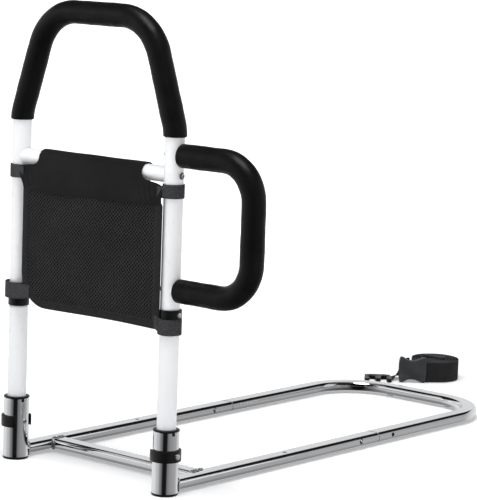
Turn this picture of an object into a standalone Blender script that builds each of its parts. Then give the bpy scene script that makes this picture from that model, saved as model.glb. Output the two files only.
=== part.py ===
"""Bed assist rail: a two-post rail with a padded top loop, a padded side handle,
a hanging storage pouch and a chrome base that slides under a mattress.
Metres, +Z up. X runs across the two posts, +Y runs along the base, under the bed."""

import math

import bmesh
import bpy
from mathutils import Vector

# ---------------------------------------------------------------- dimensions
POST_X = 0.155            # half the spacing of the two posts
POST_R = 0.0143           # post tube, outer radius (28.6 mm tube)
POST_WALL = 0.0012
SPIGOT_R = 0.0127         # necked top of each lower leg
SHOULDER_Z = 0.2370       # where the leg necks down
SPIGOT_TOP = 0.2935
LEG_BOTTOM = 0.0135
UPPER_BOTTOM = 0.2395     # lower end of the upper frame tube

LOOP_TOP_Z = 0.6860       # centreline of the top bar of the upper loop
LOOP_LEAN_Z = 0.5300      # where the posts start to lean inward
LOOP_CORNER_X = 0.1030    # corner of the leaning leg and the top bar
LOOP_CORNER_R = 0.0760
LEAN_BEND = 0.0550
GRIP_R = 0.0175           # outside of the foam grips
GRIP_START_Z = 0.5200

BAR_Z = 0.4655            # cross bar under the top loop
BAR_R = 0.0118
HANDLE_TOP_Z = 0.4945     # side handle, upper and lower arm
HANDLE_LOW_Z = 0.3005
HANDLE_X = 0.3055         # side handle, centre of the upright grip
HANDLE_R = 0.0111         # 22.2 mm tube
HANDLE_BEND = 0.0560

SOCKET_R = 0.0193
SOCKET_WALL = 0.0016
SOCKET_LOW = 0.0030
SOCKET_TOP = 0.0945
PIN_Z = 0.0590            # pinned joint of leg and socket
MID_PIN_Z = 0.2655        # pinned joint of leg and upper frame
MID_CLIP_H = 0.0140
CLIP_H = 0.0170

RAIL_W = 0.0280           # base tube, a rectangle with rounded corners: width, height, corner radius
RAIL_H = 0.0155
RAIL_R = 0.0042
RAIL_WALL = 0.0015
RAIL_Z = 0.01295          # its centre
RAIL_END = 0.4930         # seam between side tube and end loop
LOOP_END_Y = 0.8240       # centreline of the far end of the base
BASE_BEND = 0.0960
SLEEVE_W = 0.0244         # necked end of the loop inside the side tube
SLEEVE_H = 0.0119
CROSS_Y = 0.0812
BUTTON_Y = 0.4480

POUCH_X0, POUCH_X1 = -0.1290, 0.1510
POUCH_Y = -0.0183         # back of the front panel
POUCH_LOW = 0.2440
POUCH_HIGH = 0.4500

WEB_W = 0.0380            # safety strap webbing
COIL = (-0.1071, 1.0195)  # centre of the rolled strap on the floor

SHIFT = Vector((-0.06478, -0.51951, 0.0))   # puts the origin under the middle of the model
SEG = 16

for o in list(bpy.data.objects):
    bpy.data.objects.remove(o, do_unlink=True)


# ---------------------------------------------------------------- materials
def material(name, rgb, rough, metal):
    m = bpy.data.materials.new(name)
    m.use_nodes = True
    b = m.node_tree.nodes["Principled BSDF"]
    b.inputs["Base Color"].default_value = (*rgb, 1.0)
    b.inputs["Roughness"].default_value = rough
    b.inputs["Metallic"].default_value = metal
    m.diffuse_color = (*rgb, 1.0)
    return m


LOOKS = {
    "white": ((0.86, 0.87, 0.88), 0.32, 0.0),
    "chrome": ((0.72, 0.73, 0.75), 0.12, 1.0),
    "steel": ((0.62, 0.63, 0.65), 0.25, 1.0),
    "foam": ((0.014, 0.014, 0.015), 0.62, 0.0),
    "plastic": ((0.018, 0.018, 0.020), 0.45, 0.0),
    "grey": ((0.050, 0.052, 0.056), 0.5, 0.0),
    "fabric": ((0.022, 0.022, 0.024), 0.85, 0.0),
    "webbing": ((0.016, 0.016, 0.018), 0.9, 0.0),
    "rubber": ((0.02, 0.02, 0.02), 0.8, 0.0),
    "silicone": ((0.75, 0.76, 0.77), 0.35, 0.0),
}


# ---------------------------------------------------------------- builders
def add(name, bm, look, origin=(0, 0, 0), smooth=True):
    """Names a finished mesh, gives it a material and puts its origin where asked."""
    bmesh.ops.remove_doubles(bm, verts=bm.verts[:], dist=1e-6)
    bmesh.ops.recalc_face_normals(bm, faces=bm.faces[:])
    o = Vector(origin)
    bmesh.ops.translate(bm, verts=bm.verts[:], vec=-o)
    me = bpy.data.meshes.new(name)
    bm.to_mesh(me)
    bm.free()
    if smooth:
        for p in me.polygons:
            p.use_smooth = True
        me.set_sharp_from_angle(angle=math.radians(40))
    me.materials.append(material(name, *LOOKS[look]))
    ob = bpy.data.objects.new(name, me)
    bpy.context.scene.collection.objects.link(ob)
    ob.location = o + SHIFT
    return ob


def rings_to_solid(rings_out, rings_in=None, closed=False):
    """Skins rings of points; with inner rings the solid is a tube with annular ends."""
    bm = bmesh.new()

    def skin(rings):
        vr = [[bm.verts.new(p) for p in r] for r in rings]
        pairs = list(zip(vr, vr[1:])) + ([(vr[-1], vr[0])] if closed else [])
        for a, b in pairs:
            n = len(a)
            for i in range(n):
                bm.faces.new((a[i], a[(i + 1) % n], b[(i + 1) % n], b[i]))
        return vr

    o = skin(rings_out)
    if rings_in:
        i_ = skin(rings_in)
        for a, b in ((o[0], i_[0]), (o[-1], i_[-1])):
            n = len(a)
            for i in range(n):
                bm.faces.new((a[i], a[(i + 1) % n], b[(i + 1) % n], b[i]))
    elif not closed:
        bm.faces.new(o[0])
        bm.faces.new(o[-1])
    return bm


def circle(r, n=SEG, phase=0.0):
    return [(r * math.cos(2 * math.pi * (i + phase) / n), r * math.sin(2 * math.pi * (i + phase) / n)) for i in range(n)]


def oblong(w, h, n=2):
    """Section of a rectangular tube with rounded corners; smaller sizes nest in the same corners."""
    r = RAIL_R - (RAIL_H - h) / 2
    pts = []
    for k, (sx, sy) in enumerate(((1, -1), (1, 1), (-1, 1), (-1, -1))):
        for i in range(n + 1):
            a = math.pi / 2 * (k - 1 + i / n)
            pts.append((sx * (w / 2 - r) + r * math.cos(a), sy * (h / 2 - r) + r * math.sin(a)))
    return pts


def fillet(corners, radii, n=6):
    """A polyline with rounded corners."""
    pts = [Vector(corners[0])]
    for k in range(1, len(corners) - 1):
        a, b, c = (Vector(corners[k + d]) for d in (-1, 0, 1))
        u, v = (a - b).normalized(), (c - b).normalized()
        half = u.angle(v) / 2
        t = radii[k - 1] / math.tan(half)
        mid = b + (u + v).normalized() * (radii[k - 1] / math.sin(half))
        s, e = b + u * t - mid, b + v * t - mid
        ang = s.angle(e)
        m = n if half < 1.2 else 2
        for i in range(m + 1):
            f = i / m
            pts.append(mid + (s * math.sin((1 - f) * ang) + e * math.sin(f * ang)) / math.sin(ang))
    pts.append(Vector(corners[-1]))
    return pts


def sweep_rings(pts, normal, sections):
    """Places a section (or one per point) square to a planar path, mitred at its corners."""
    normal = Vector(normal)
    pts = [Vector(p) for p in pts]
    if not isinstance(sections[0][0], (list, tuple)):
        sections = [sections] * len(pts)
    out = []
    for i, p in enumerate(pts):
        d0 = (p - pts[i - 1]).normalized() if i else None
        d1 = (pts[i + 1] - p).normalized() if i < len(pts) - 1 else None
        t = ((d0 or d1) + (d1 or d0)).normalized()
        k = 1 / max(0.5, t.dot(d1 or d0))
        u = normal.cross(t)
        out.append([p + u * (x * k) + normal * y for x, y in sections[i]])
    return out


def tube(name, pts, normal, r_out, r_in, look, origin=(0, 0, 0), n=SEG):
    ro = sweep_rings(pts, normal, circle(r_out, n))
    ri = sweep_rings(pts, normal, circle(r_in, n)) if r_in else None
    return add(name, rings_to_solid(ro, ri), look, origin)


def lathe(name, profile, look, at=(0, 0, 0), axis="Z", n=SEG, origin=None, closed=True):
    """Turns a closed profile of (radius, height) round an axis. Points on the axis make a solid."""
    bm = bmesh.new()
    rows = []
    for r, h in profile:
        if r < 1e-7:
            rows.append([bm.verts.new((0, 0, h))])
        else:
            rows.append([bm.verts.new((r * math.cos(2 * math.pi * i / n), r * math.sin(2 * math.pi * i / n), h)) for i in range(n)])
    pairs = list(zip(rows, rows[1:])) + ([(rows[-1], rows[0])] if closed else [])
    for a, b in pairs:
        if len(a) == 1 and len(b) == 1:
            continue
        for i in range(n):
            j = (i + 1) % n
            q = [a[i % len(a)], a[j % len(a)], b[j % len(b)], b[i % len(b)]]
            q = list(dict.fromkeys(q))
            bm.faces.new(q)
    if axis == "X":
        bmesh.ops.rotate(bm, verts=bm.verts[:], cent=(0, 0, 0), matrix=_rot("Y", math.pi / 2))
    elif axis == "-X":
        bmesh.ops.rotate(bm, verts=bm.verts[:], cent=(0, 0, 0), matrix=_rot("Y", -math.pi / 2))
    bmesh.ops.translate(bm, verts=bm.verts[:], vec=Vector(at))
    return add(name, bm, look, at if origin is None else origin)


def _rot(axis, ang):
    from mathutils import Matrix
    return Matrix.Rotation(ang, 3, axis)


def prism(name, outline, z0, z1, look, origin=(0, 0, 0), smooth=True, holes=None):
    """Extrudes a closed outline in XY; with a second outline inside it the solid is a band."""
    bm = rings_to_solid([[(x, y, z) for x, y in outline] for z in (z0, z1)],
                        [[(x, y, z) for x, y in holes] for z in (z0, z1)] if holes else None)
    return add(name, bm, look, origin, smooth)


def box(name, lo, hi, look, origin=(0, 0, 0), bevel=0.0):
    bm = bmesh.new()
    bmesh.ops.create_cube(bm, size=1.0)
    for v in bm.verts:
        v.co = Vector([(l + h) / 2 + c * (h - l) for c, l, h in zip(v.co, lo, hi)])
    if bevel:
        bmesh.ops.bevel(bm, geom=bm.edges[:], offset=bevel, segments=1, affect="EDGES")
    return add(name, bm, look, origin)


def cut(ob, cutters):
    """Cuts the given objects out of one object and removes them."""
    for c in cutters:
        c.hide_render = True
        c.display_type = "WIRE"
        m = ob.modifiers.new("cut", "BOOLEAN")
        m.operation = "DIFFERENCE"
        m.solver = "EXACT"
        m.object = c
    bpy.context.view_layer.update()
    dg = bpy.context.evaluated_depsgraph_get()
    me = bpy.data.meshes.new_from_object(ob.evaluated_get(dg))
    old, mats = ob.data, ob.data.materials[0]
    ob.modifiers.clear()
    ob.data = me
    me.name = ob.name
    me.materials.clear()
    me.materials.append(mats)
    bpy.data.meshes.remove(old)
    for c in cutters:
        bpy.data.objects.remove(c, do_unlink=True)
    return ob


def rod(r, a, b, n=8):
    """A cutter: a cylinder from a to b along X, Y or Z."""
    a, b = Vector(a), Vector(b)
    d = (b - a).normalized()
    side = Vector((0, 0, 1)) if abs(d.z) < 0.5 else Vector((1, 0, 0))
    rings = sweep_rings([a, b], side, circle(r, n, 0.27))
    return add("cutter", rings_to_solid(rings), "steel")


# ---------------------------------------------------------------- base
for side, sx in (("left", -1), ("right", 1)):
    x = sx * POST_X
    # round socket, welded to the front of its side tube
    sock = lathe(f"leg_socket_{side}", [
        (SOCKET_R - SOCKET_WALL, SOCKET_LOW), (SOCKET_R, SOCKET_LOW),
        (SOCKET_R, SOCKET_TOP), (SOCKET_R - SOCKET_WALL, SOCKET_TOP)], "chrome", (x, 0, 0), n=16)
    key = math.radians(-14)
    kx, ky = x + SOCKET_R * math.cos(key), SOCKET_R * math.sin(key)
    notch = box("cutter", (kx - 0.004, ky - 0.0024, SOCKET_TOP - 0.0050), (kx + 0.004, ky + 0.0024, SOCKET_TOP + 0.002), "steel")
    cut(sock, [rod(0.0034, (x - 0.03, 0, PIN_Z), (x + 0.03, 0, PIN_Z)), notch])

    # plastic bush that takes up the gap between socket and leg, with a flange on the rim
    bush = lathe(f"socket_bush_{side}", [
        (POST_R + 0.0003, 0.0160), (SOCKET_R - SOCKET_WALL - 0.0003, 0.0160),
        (SOCKET_R - SOCKET_WALL - 0.0003, SOCKET_TOP + 0.0003), (SOCKET_R + 0.0002, SOCKET_TOP + 0.0003),
        (SOCKET_R + 0.0002, SOCKET_TOP + 0.0020), (POST_R + 0.0003, SOCKET_TOP + 0.0026)], "plastic", (x, 0, 0), n=16)
    cut(bush, [rod(0.0036, (x - 0.03, 0, PIN_Z), (x + 0.03, 0, PIN_Z))])
    # key of the bush, seen in the notch of the socket's rim
    # (kept as its own small moulding, so that the bush stays a plain ring)
    box(f"bush_key_{side}", (kx - 0.0012, ky - 0.0021, SOCKET_TOP - 0.0046), (kx + 0.0006, ky + 0.0021, SOCKET_TOP - 0.0001), "plastic")

    lathe(f"socket_foot_{side}", [
        (0, 0.0), (SOCKET_R - 0.0006, 0.0), (SOCKET_R, 0.0008), (SOCKET_R, SOCKET_LOW - 0.0003),
        (SOCKET_R - SOCKET_WALL - 0.0003, SOCKET_LOW - 0.0003), (SOCKET_R - SOCKET_WALL - 0.0003, 0.0115), (0, 0.0115)],
        "rubber", (x, 0, 0), n=16, closed=False)

    # side tube, coped to the socket
    ys = [0.0, RAIL_END]
    path = [(x, y, RAIL_Z) for y in ys]
    st = add(f"base_side_tube_{side}", rings_to_solid(
        sweep_rings(path, (0, 0, 1), oblong(RAIL_W, RAIL_H)),
        sweep_rings(path, (0, 0, 1), oblong(RAIL_W - 2 * RAIL_WALL, RAIL_H - 2 * RAIL_WALL))), "chrome")
    face = x + RAIL_W / 2
    cut(st, [rod(SOCKET_R + 0.0003, (x, 0, -0.01), (x, 0, 0.05), 24),
             rod(0.0042, (face - 0.006, BUTTON_Y, RAIL_Z), (face + 0.01, BUTTON_Y, RAIL_Z)),
             rod(0.0032, (x, 0.272, RAIL_Z), (x, 0.272, RAIL_Z + 0.02), 8)])

    # spring button that locks the loop in the side tube, and its leaf spring
    lathe(f"snap_button_{side}", [
        (0, -0.0075), (0.0041, -0.0075), (0.0041, -0.0067), (0.0036, -0.0065), (0.0036, 0.0012), (0.0027, 0.0024), (0, 0.0026)],
        "steel", (face, BUTTON_Y, RAIL_Z), axis="X", n=10, closed=False)
    bm = bmesh.new()
    leaf = [(face - 0.0234, 0.4250), (face - 0.0234, 0.4560), (face - 0.0085, 0.4545), (face - 0.0082, 0.4430),
            (face - 0.0089, 0.4430), (face - 0.0092, 0.4535), (face - 0.0227, 0.4552), (face - 0.0227, 0.4250)]
    lo = [bm.verts.new((a, b, RAIL_Z - 0.003)) for a, b in leaf]
    hi = [bm.verts.new((a, b, RAIL_Z + 0.003)) for a, b in leaf]
    bm.faces.new(lo)
    bm.faces.new(hi)
    for i in range(len(leaf)):
        j = (i + 1) % len(leaf)
        bm.faces.new((lo[i], lo[j], hi[j], hi[i]))
    add(f"button_spring_{side}", bm, "steel", smooth=False)

cross = [(-POST_X + RAIL_W / 2 + 0.0003, CROSS_Y, RAIL_Z), (POST_X - RAIL_W / 2 - 0.0003, CROSS_Y, RAIL_Z)]
ct = add("base_cross_tube", rings_to_solid(
    sweep_rings([cross[0], cross[1]], (0, 0, 1), oblong(RAIL_W, RAIL_H)),
    sweep_rings([cross[0], cross[1]], (0, 0, 1), oblong(RAIL_W - 2 * RAIL_WALL, RAIL_H - 2 * RAIL_WALL))), "chrome")

# far end of the base: a oblong tube bent to a U, its ends necked to slide into the side tubes
core = fillet([(POST_X, RAIL_END + 0.0020, RAIL_Z), (POST_X, LOOP_END_Y, RAIL_Z), (-POST_X, LOOP_END_Y, RAIL_Z),
               (-POST_X, RAIL_END + 0.0020, RAIL_Z)], [BASE_BEND, BASE_BEND], 6)
path = ([Vector((POST_X, 0.4100, RAIL_Z)), Vector((POST_X, RAIL_END + 0.0004, RAIL_Z)), Vector((POST_X, RAIL_END + 0.0006, RAIL_Z))] + core +
        [Vector((-POST_X, RAIL_END + 0.0006, RAIL_Z)), Vector((-POST_X, RAIL_END + 0.0004, RAIL_Z)), Vector((-POST_X, 0.4100, RAIL_Z))])
big, small = oblong(RAIL_W, RAIL_H), oblong(SLEEVE_W, SLEEVE_H)
hollow = oblong(SLEEVE_W - 0.0024, SLEEVE_H - 0.0024)
outer = [small, small, big] + [big] * len(core) + [big, small, small]
loop = add("base_end_loop", rings_to_solid(
    sweep_rings(path, (0, 0, 1), outer), sweep_rings(path, (0, 0, 1), [hollow] * len(path))), "chrome")
cutters = []
for sx in (-1, 1):
    face = sx * POST_X + RAIL_W / 2
    cutters.append(rod(0.0040, (face - 0.006, BUTTON_Y, RAIL_Z), (face + 0.004, BUTTON_Y, RAIL_Z)))
    if sx > 0:
        cutters.append(rod(0.0034, (face - 0.006, 0.5300, RAIL_Z), (face + 0.004, 0.5300, RAIL_Z), 8))
cut(loop, cutters)

for side, sx in (("left", -1), ("right", 1)):
    x = sx * 0.062
    lathe(f"loop_pad_{side}", [(0, 0), (0.0060, 0.0), (0.0068, 0.0010), (0.0068, 0.0048), (0, 0.0048)],
          "silicone", (x, LOOP_END_Y + 0.004, 0), n=16, closed=False)


# ---------------------------------------------------------------- clips and pins of the two pinned joints
def clip(name, x, z, h, r, sx, wall, look="plastic"):
    """A sprung C of moulded plastic, open on the side away from its pin."""
    a0 = math.radians(48)
    n = 16
    mid = 0.0 if sx > 0 else math.pi
    ang = [mid - math.pi + a0 + (2 * math.pi - 2 * a0) * i / n for i in range(n + 1)]
    pts = [(x + r * math.cos(a), r * math.sin(a)) for a in ang]
    pts += [(x + (r + wall) * math.cos(a), (r + wall) * math.sin(a)) for a in reversed(ang)]
    bm = bmesh.new()
    m = n + 1
    lo = [bm.verts.new((a, b, z - h / 2)) for a, b in pts]
    hi = [bm.verts.new((a, b, z + h / 2)) for a, b in pts]
    for i in range(m - 1):
        j, k = 2 * m - 1 - i, 2 * m - 2 - i
        bm.faces.new((lo[i], lo[i + 1], lo[k], lo[j]))
        bm.faces.new((hi[i], hi[i + 1], hi[k], hi[j]))
    for i in range(2 * m):
        j = (i + 1) % (2 * m)
        bm.faces.new((lo[i], lo[j], hi[j], hi[i]))
    ob = add(name, bm, look)
    return cut(ob, [rod(0.0033, (x, 0, z), (x + sx * 0.04, 0, z), 8)])


for side, sx in (("left", -1), ("right", 1)):
    x = sx * POST_X
    clip(f"socket_clip_{side}", x, PIN_Z, CLIP_H, SOCKET_R + 0.0004, sx, 0.0030)
    far = SOCKET_R + 0.0034
    lathe(f"socket_pin_{side}", [(0, POST_R + 0.0006), (0.0030, POST_R + 0.0006), (0.0030, far + 0.0003),
                                (0.0048, far + 0.0003), (0.0042, far + 0.0016), (0, far + 0.0022)],
          "steel", (x, 0, PIN_Z), axis="X" if sx > 0 else "-X", n=8, closed=False)

# ---------------------------------------------------------------- lower legs
for side, sx in (("left", -1), ("right", 1)):
    x = sx * POST_X
    w = POST_WALL
    leg = lathe(f"lower_leg_{side}", [
        (POST_R - w, LEG_BOTTOM), (POST_R, LEG_BOTTOM), (POST_R, SHOULDER_Z - 0.0015), (SPIGOT_R, SHOULDER_Z),
        (SPIGOT_R, SPIGOT_TOP), (SPIGOT_R - w, SPIGOT_TOP), (SPIGOT_R - w, SHOULDER_Z - 0.001), (POST_R - w, SHOULDER_Z - 0.0035)],
        "white", (x, 0, 0))
    holes = [rod(0.0034, (x - 0.03, 0, PIN_Z), (x + 0.03, 0, PIN_Z), 8)]
    holes.append(rod(0.0034, (x - 0.03, 0, MID_PIN_Z), (x + 0.03, 0, MID_PIN_Z), 8))
    cut(leg, holes)

# ---------------------------------------------------------------- upper frame
post = fillet([(-POST_X, 0, UPPER_BOTTOM), (-POST_X, 0, LOOP_LEAN_Z), (-LOOP_CORNER_X, 0, LOOP_TOP_Z),
               (LOOP_CORNER_X, 0, LOOP_TOP_Z), (POST_X, 0, LOOP_LEAN_Z), (POST_X, 0, UPPER_BOTTOM)],
              [LEAN_BEND, LOOP_CORNER_R, LOOP_CORNER_R, LEAN_BEND], 4)
up = tube("upper_frame_tube", post, (0, 1, 0), POST_R, POST_R - POST_WALL, "white")
cutters = []
for side, sx in (("left", -1), ("right", 1)):
    x = sx * POST_X
    cutters.append(rod(0.0033, (x - 0.03, 0, MID_PIN_Z), (x + 0.03, 0, MID_PIN_Z), 8))
    cutters.append(rod(0.0033, (x - 0.03, 0, BAR_Z), (x + 0.03, 0, BAR_Z), 8))
for z in (HANDLE_TOP_Z, HANDLE_LOW_Z):
    cutters.append(rod(0.0033, (POST_X - 0.03, 0, z), (POST_X + 0.03, 0, z), 8))
cut(up, cutters)

grip = [Vector((-POST_X, 0, GRIP_START_Z))] + post[1:-1] + [Vector((POST_X, 0, GRIP_START_Z))]
tube("top_grip", grip, (0, 1, 0), GRIP_R, POST_R + 0.0002, "foam")

# collar on the lower end of each upper post
for side, sx in (("left", -1), ("right", 1)):
    lathe(f"post_collar_{side}", [
        (SPIGOT_R + 0.0003, UPPER_BOTTOM - 0.0019), (POST_R + 0.0016, UPPER_BOTTOM - 0.0019),
        (POST_R + 0.0016, UPPER_BOTTOM + 0.0092), (POST_R + 0.0003, UPPER_BOTTOM + 0.0092),
        (POST_R + 0.0003, UPPER_BOTTOM - 0.0003), (SPIGOT_R + 0.0003, UPPER_BOTTOM - 0.0003)],
        "plastic", (sx * POST_X, 0, 0))
    clip(f"post_clip_{side}", sx * POST_X, MID_PIN_Z, MID_CLIP_H, POST_R + 0.0003, sx, 0.0028)
    far = POST_R + 0.0030
    lathe(f"post_pin_{side}", [(0, POST_R - POST_WALL + 0.0002), (0.0030, POST_R - POST_WALL + 0.0002), (0.0030, far + 0.0003),
                              (0.0042, far + 0.0003), (0.0038, far + 0.0014), (0, far + 0.0019)],
          "steel", (sx * POST_X, 0, MID_PIN_Z), axis="X" if sx > 0 else "-X", n=8, closed=False)

# cross bar, coped to the posts, with a threaded plug in each end and a bolt through each post
bar = tube("cross_bar", [(-POST_X, 0, BAR_Z), (POST_X, 0, BAR_Z)], (0, 1, 0), BAR_R, BAR_R - 0.0012, "white")
cut(bar, [rod(POST_R + 0.0003, (sx * POST_X, 0, BAR_Z - 0.03), (sx * POST_X, 0, BAR_Z + 0.03), SEG) for sx in (-1, 1)])


def bolt(name, x, z, axis, reach):
    lathe(name, [(0, -reach), (0.0024, -reach), (0.0030, -reach + 0.0008), (0.0030, POST_R + 0.0003), (0.0052, POST_R + 0.0003),
                 (0.0052, POST_R + 0.0010), (0.0040, POST_R + 0.0026), (0.0018, POST_R + 0.0034), (0, POST_R + 0.0035)],
          "steel", (x, 0, z), axis=axis, n=8, closed=False)


def plug(name, x, z, axis, r, start, end):
    lathe(name, [(0.0034, start), (r, start), (r, end), (0.0034, end)], "plastic", (x, 0, z), axis=axis, n=8)


for side, sx in (("left", -1), ("right", 1)):
    out, inward = ("-X", "X") if sx < 0 else ("X", "-X")
    bolt(f"cross_bar_bolt_{side}", sx * POST_X, BAR_Z, out, 0.0340)
    plug(f"cross_bar_plug_{side}", sx * POST_X, BAR_Z, inward, BAR_R - 0.0015, 0.0150, 0.0320)

# side handle: a tube bent to a D, bolted through the right-hand post from its inner side
dee = fillet([(POST_X + 0.004, 0, HANDLE_TOP_Z), (HANDLE_X, 0, HANDLE_TOP_Z), (HANDLE_X, 0, HANDLE_LOW_Z),
              (POST_X + 0.004, 0, HANDLE_LOW_Z)], [HANDLE_BEND, HANDLE_BEND], 4)
ht = tube("side_handle_tube", dee, (0, 1, 0), HANDLE_R, HANDLE_R - 0.0012, "white", (POST_X, 0, HANDLE_TOP_Z), 12)
cut(ht, [rod(POST_R + 0.0003, (POST_X, 0, 0.26), (POST_X, 0, 0.54), SEG)])
hg = tube("side_handle_grip", dee, (0, 1, 0), GRIP_R, HANDLE_R + 0.0002, "foam", (POST_X, 0, HANDLE_TOP_Z), SEG)
cut(hg, [box("cutter", (POST_X - 0.02, -0.03, 0.26), (POST_X + POST_R + 0.0012, 0.03, 0.54), "steel")])
for where, z in (("upper", HANDLE_TOP_Z), ("lower", HANDLE_LOW_Z)):
    bolt(f"side_handle_bolt_{where}", POST_X, z, "-X", 0.0360)
    plug(f"side_handle_plug_{where}", POST_X, z, "X", HANDLE_R - 0.0020, 0.0150, 0.0340)

# ---------------------------------------------------------------- storage pouch
def panel(name, xs, zs, front, back, look):
    """A crowned panel: front and back give Y over the width and height."""
    bm = bmesh.new()
    f = [[bm.verts.new((x, front(x, z), z)) for x in xs] for z in zs]
    b = [[bm.verts.new((x, back(x, z), z)) for x in xs] for z in zs]
    nz, nx = len(zs), len(xs)
    for i in range(nz - 1):
        for j in range(nx - 1):
            bm.faces.new((f[i][j], f[i][j + 1], f[i + 1][j + 1], f[i + 1][j]))
            bm.faces.new((b[i][j], b[i + 1][j], b[i + 1][j + 1], b[i][j + 1]))
    for i in range(nz - 1):
        for j in (0, nx - 1):
            bm.faces.new((f[i][j], f[i + 1][j], b[i + 1][j], b[i][j]))
    for j in range(nx - 1):
        for i in (0, nz - 1):
            bm.faces.new((f[i][j], f[i][j + 1], b[i][j + 1], b[i][j]))
    return add(name, bm, look)


FLAP_Z = 0.4240
SLEEVE_X = 0.1040


def crown(x, z):
    u = (x - POUCH_X0) / (POUCH_X1 - POUCH_X0)
    v = (z - POUCH_LOW) / (FLAP_Z - POUCH_LOW)
    return 0.0035 * math.sin(math.pi * min(1, max(0, u))) * math.sin(math.pi * min(1, max(0, v)))


xs = [POUCH_X0 + (POUCH_X1 - POUCH_X0) * i / 6 for i in range(7)]
zs = [POUCH_LOW + (FLAP_Z - 0.0004 - POUCH_LOW) * i / 4 for i in range(5)]
panel("pouch_front_panel", xs, zs, lambda x, z: POUCH_Y - 0.0016 - crown(x, z), lambda x, z: POUCH_Y - crown(x, z), "fabric")
xs = [-0.1320 + 0.2640 * i / 4 for i in range(5)]
zs = [0.2560 + 0.1690 * i / 3 for i in range(4)]
panel("pouch_back_panel", xs, zs, lambda x, z: -0.0022, lambda x, z: -0.0006, "fabric")

# gusset: closes the pouch at its sides and bottom, between front and back panel
path = [(-0.1312, -0.0094, 0.4200), (-0.1312, -0.0094, 0.2568), (0.1312, -0.0094, 0.2568), (0.1312, -0.0094, 0.4200)]
sec = [(0.0007, -0.0068), (0.0007, 0.0068), (-0.0007, 0.0068), (-0.0007, -0.0068)]
add("pouch_gusset", rings_to_solid(sweep_rings(path, (0, 1, 0), sec)), "fabric")

# sleeve that carries the pouch on the cross bar, and the flap that comes down from it in front
sleeve_r, half = BAR_R + 0.0020, 0.0008
line = [(POUCH_Y - 0.0008, FLAP_Z, POUCH_X0, POUCH_X1), (POUCH_Y - 0.0008, 0.4490, POUCH_X0 - 0.003, POUCH_X1),
        (POUCH_Y - 0.0005, 0.4520, -SLEEVE_X, SLEEVE_X)]
for k in range(9):
    a = math.radians(196 - 266 * k / 8)
    line.append((sleeve_r * math.cos(a), BAR_Z + sleeve_r * math.sin(a), -SLEEVE_X, SLEEVE_X))
rings = []
for i, (y, z, x0, x1) in enumerate(line):
    p0, p1 = line[max(0, i - 1)], line[min(len(line) - 1, i + 1)]
    t = Vector((p1[0] - p0[0], p1[1] - p0[1])).normalized()
    n = Vector((-t.y, t.x)) * half
    rings.append([(x0, y + n.x, z + n.y), (x1, y + n.x, z + n.y), (x1, y - n.x, z - n.y), (x0, y - n.x, z - n.y)])
add("pouch_sleeve", rings_to_solid(rings), "fabric")


def band(name, x, z0, z1, r, wall, bulge=0.0):
    """A webbing strap closed round a post; bulge lets it pass over the clip on the outer side."""
    n = 16

    def loop(rr):
        out = []
        for i in range(n):
            a = 2 * math.pi * i / n
            side = max(0.0, math.cos(a) * (-1 if x < 0 else 1))
            q = rr + bulge * side ** 4
            out.append((x + q * math.cos(a), q * math.sin(a)))
        return out
    return prism(name, loop(r + wall), z0, z1, "webbing", (x, 0, (z0 + z1) / 2), holes=loop(r))


band("pouch_strap_upper_left", -POST_X, 0.4330, 0.4530, POST_R + 0.0004, 0.0015)
band("pouch_strap_upper_right", POST_X, 0.4330, 0.4530, POST_R + 0.0004, 0.0015)
band("pouch_strap_lower_left", -POST_X, 0.2495, 0.2740, POST_R + 0.0038, 0.0015, 0.0032)
band("pouch_strap_lower_right", POST_X, 0.2360, 0.2580, POST_R + 0.0020, 0.0015)

# ---------------------------------------------------------------- safety strap, rolled up as it is supplied
RIGHT = Vector((0.7605, 0.6493, 0.0))   # across the roll
FRONT = Vector((0.6493, -0.7605, 0.0))  # out of its front
CENTRE = Vector((COIL[0], COIL[1], 0.0))
TURNS, R0, R1, THICK = 7, 0.0085, 0.0450, 0.0017
OUT = R1 - 0.0340         # how far the buckle stands out with the roll
Z0, Z1 = 0.0004, 0.0004 + WEB_W


def at(a, b, z=0.0):
    return CENTRE + RIGHT * a + FRONT * b + Vector((0, 0, z))


line = []
steps = TURNS * 12
for i in range(steps + 1):
    f = i / steps
    ang = 2 * math.pi * TURNS * (f - 1) + math.pi / 2
    r = R0 + (R1 - R0) * f
    line.append((r * math.cos(ang), r * math.sin(ang)))
line += [(-0.0130, R1 + 0.0018), (-0.0165, R1 + 0.0030)]
rings = []
for i, p in enumerate(line):
    p0, p1 = line[max(0, i - 1)], line[min(len(line) - 1, i + 1)]
    t = Vector((p1[0] - p0[0], p1[1] - p0[1])).normalized()
    n = Vector((-t.y, t.x)) * (THICK / 2)
    a, b = at(p[0] + n.x, p[1] + n.y), at(p[0] - n.x, p[1] - n.y)
    rings.append([(a.x, a.y, Z0), (b.x, b.y, Z0), (b.x, b.y, Z1), (a.x, a.y, Z1)])
add("strap_roll", rings_to_solid(rings), "webbing", at(0, 0))


def plate(name, outline, b0, b1, look, upright=True, origin=(0, 0, 0)):
    """Extrudes an outline, upright (across, height) or lying (across, front), between b0 and b1."""
    def put(u, v, w):
        return at(u, w, v) if upright else at(u, v, w)
    return add(name, rings_to_solid([[put(u, v, w) for u, v in outline] for w in (b0, b1)]), look, origin)


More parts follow.
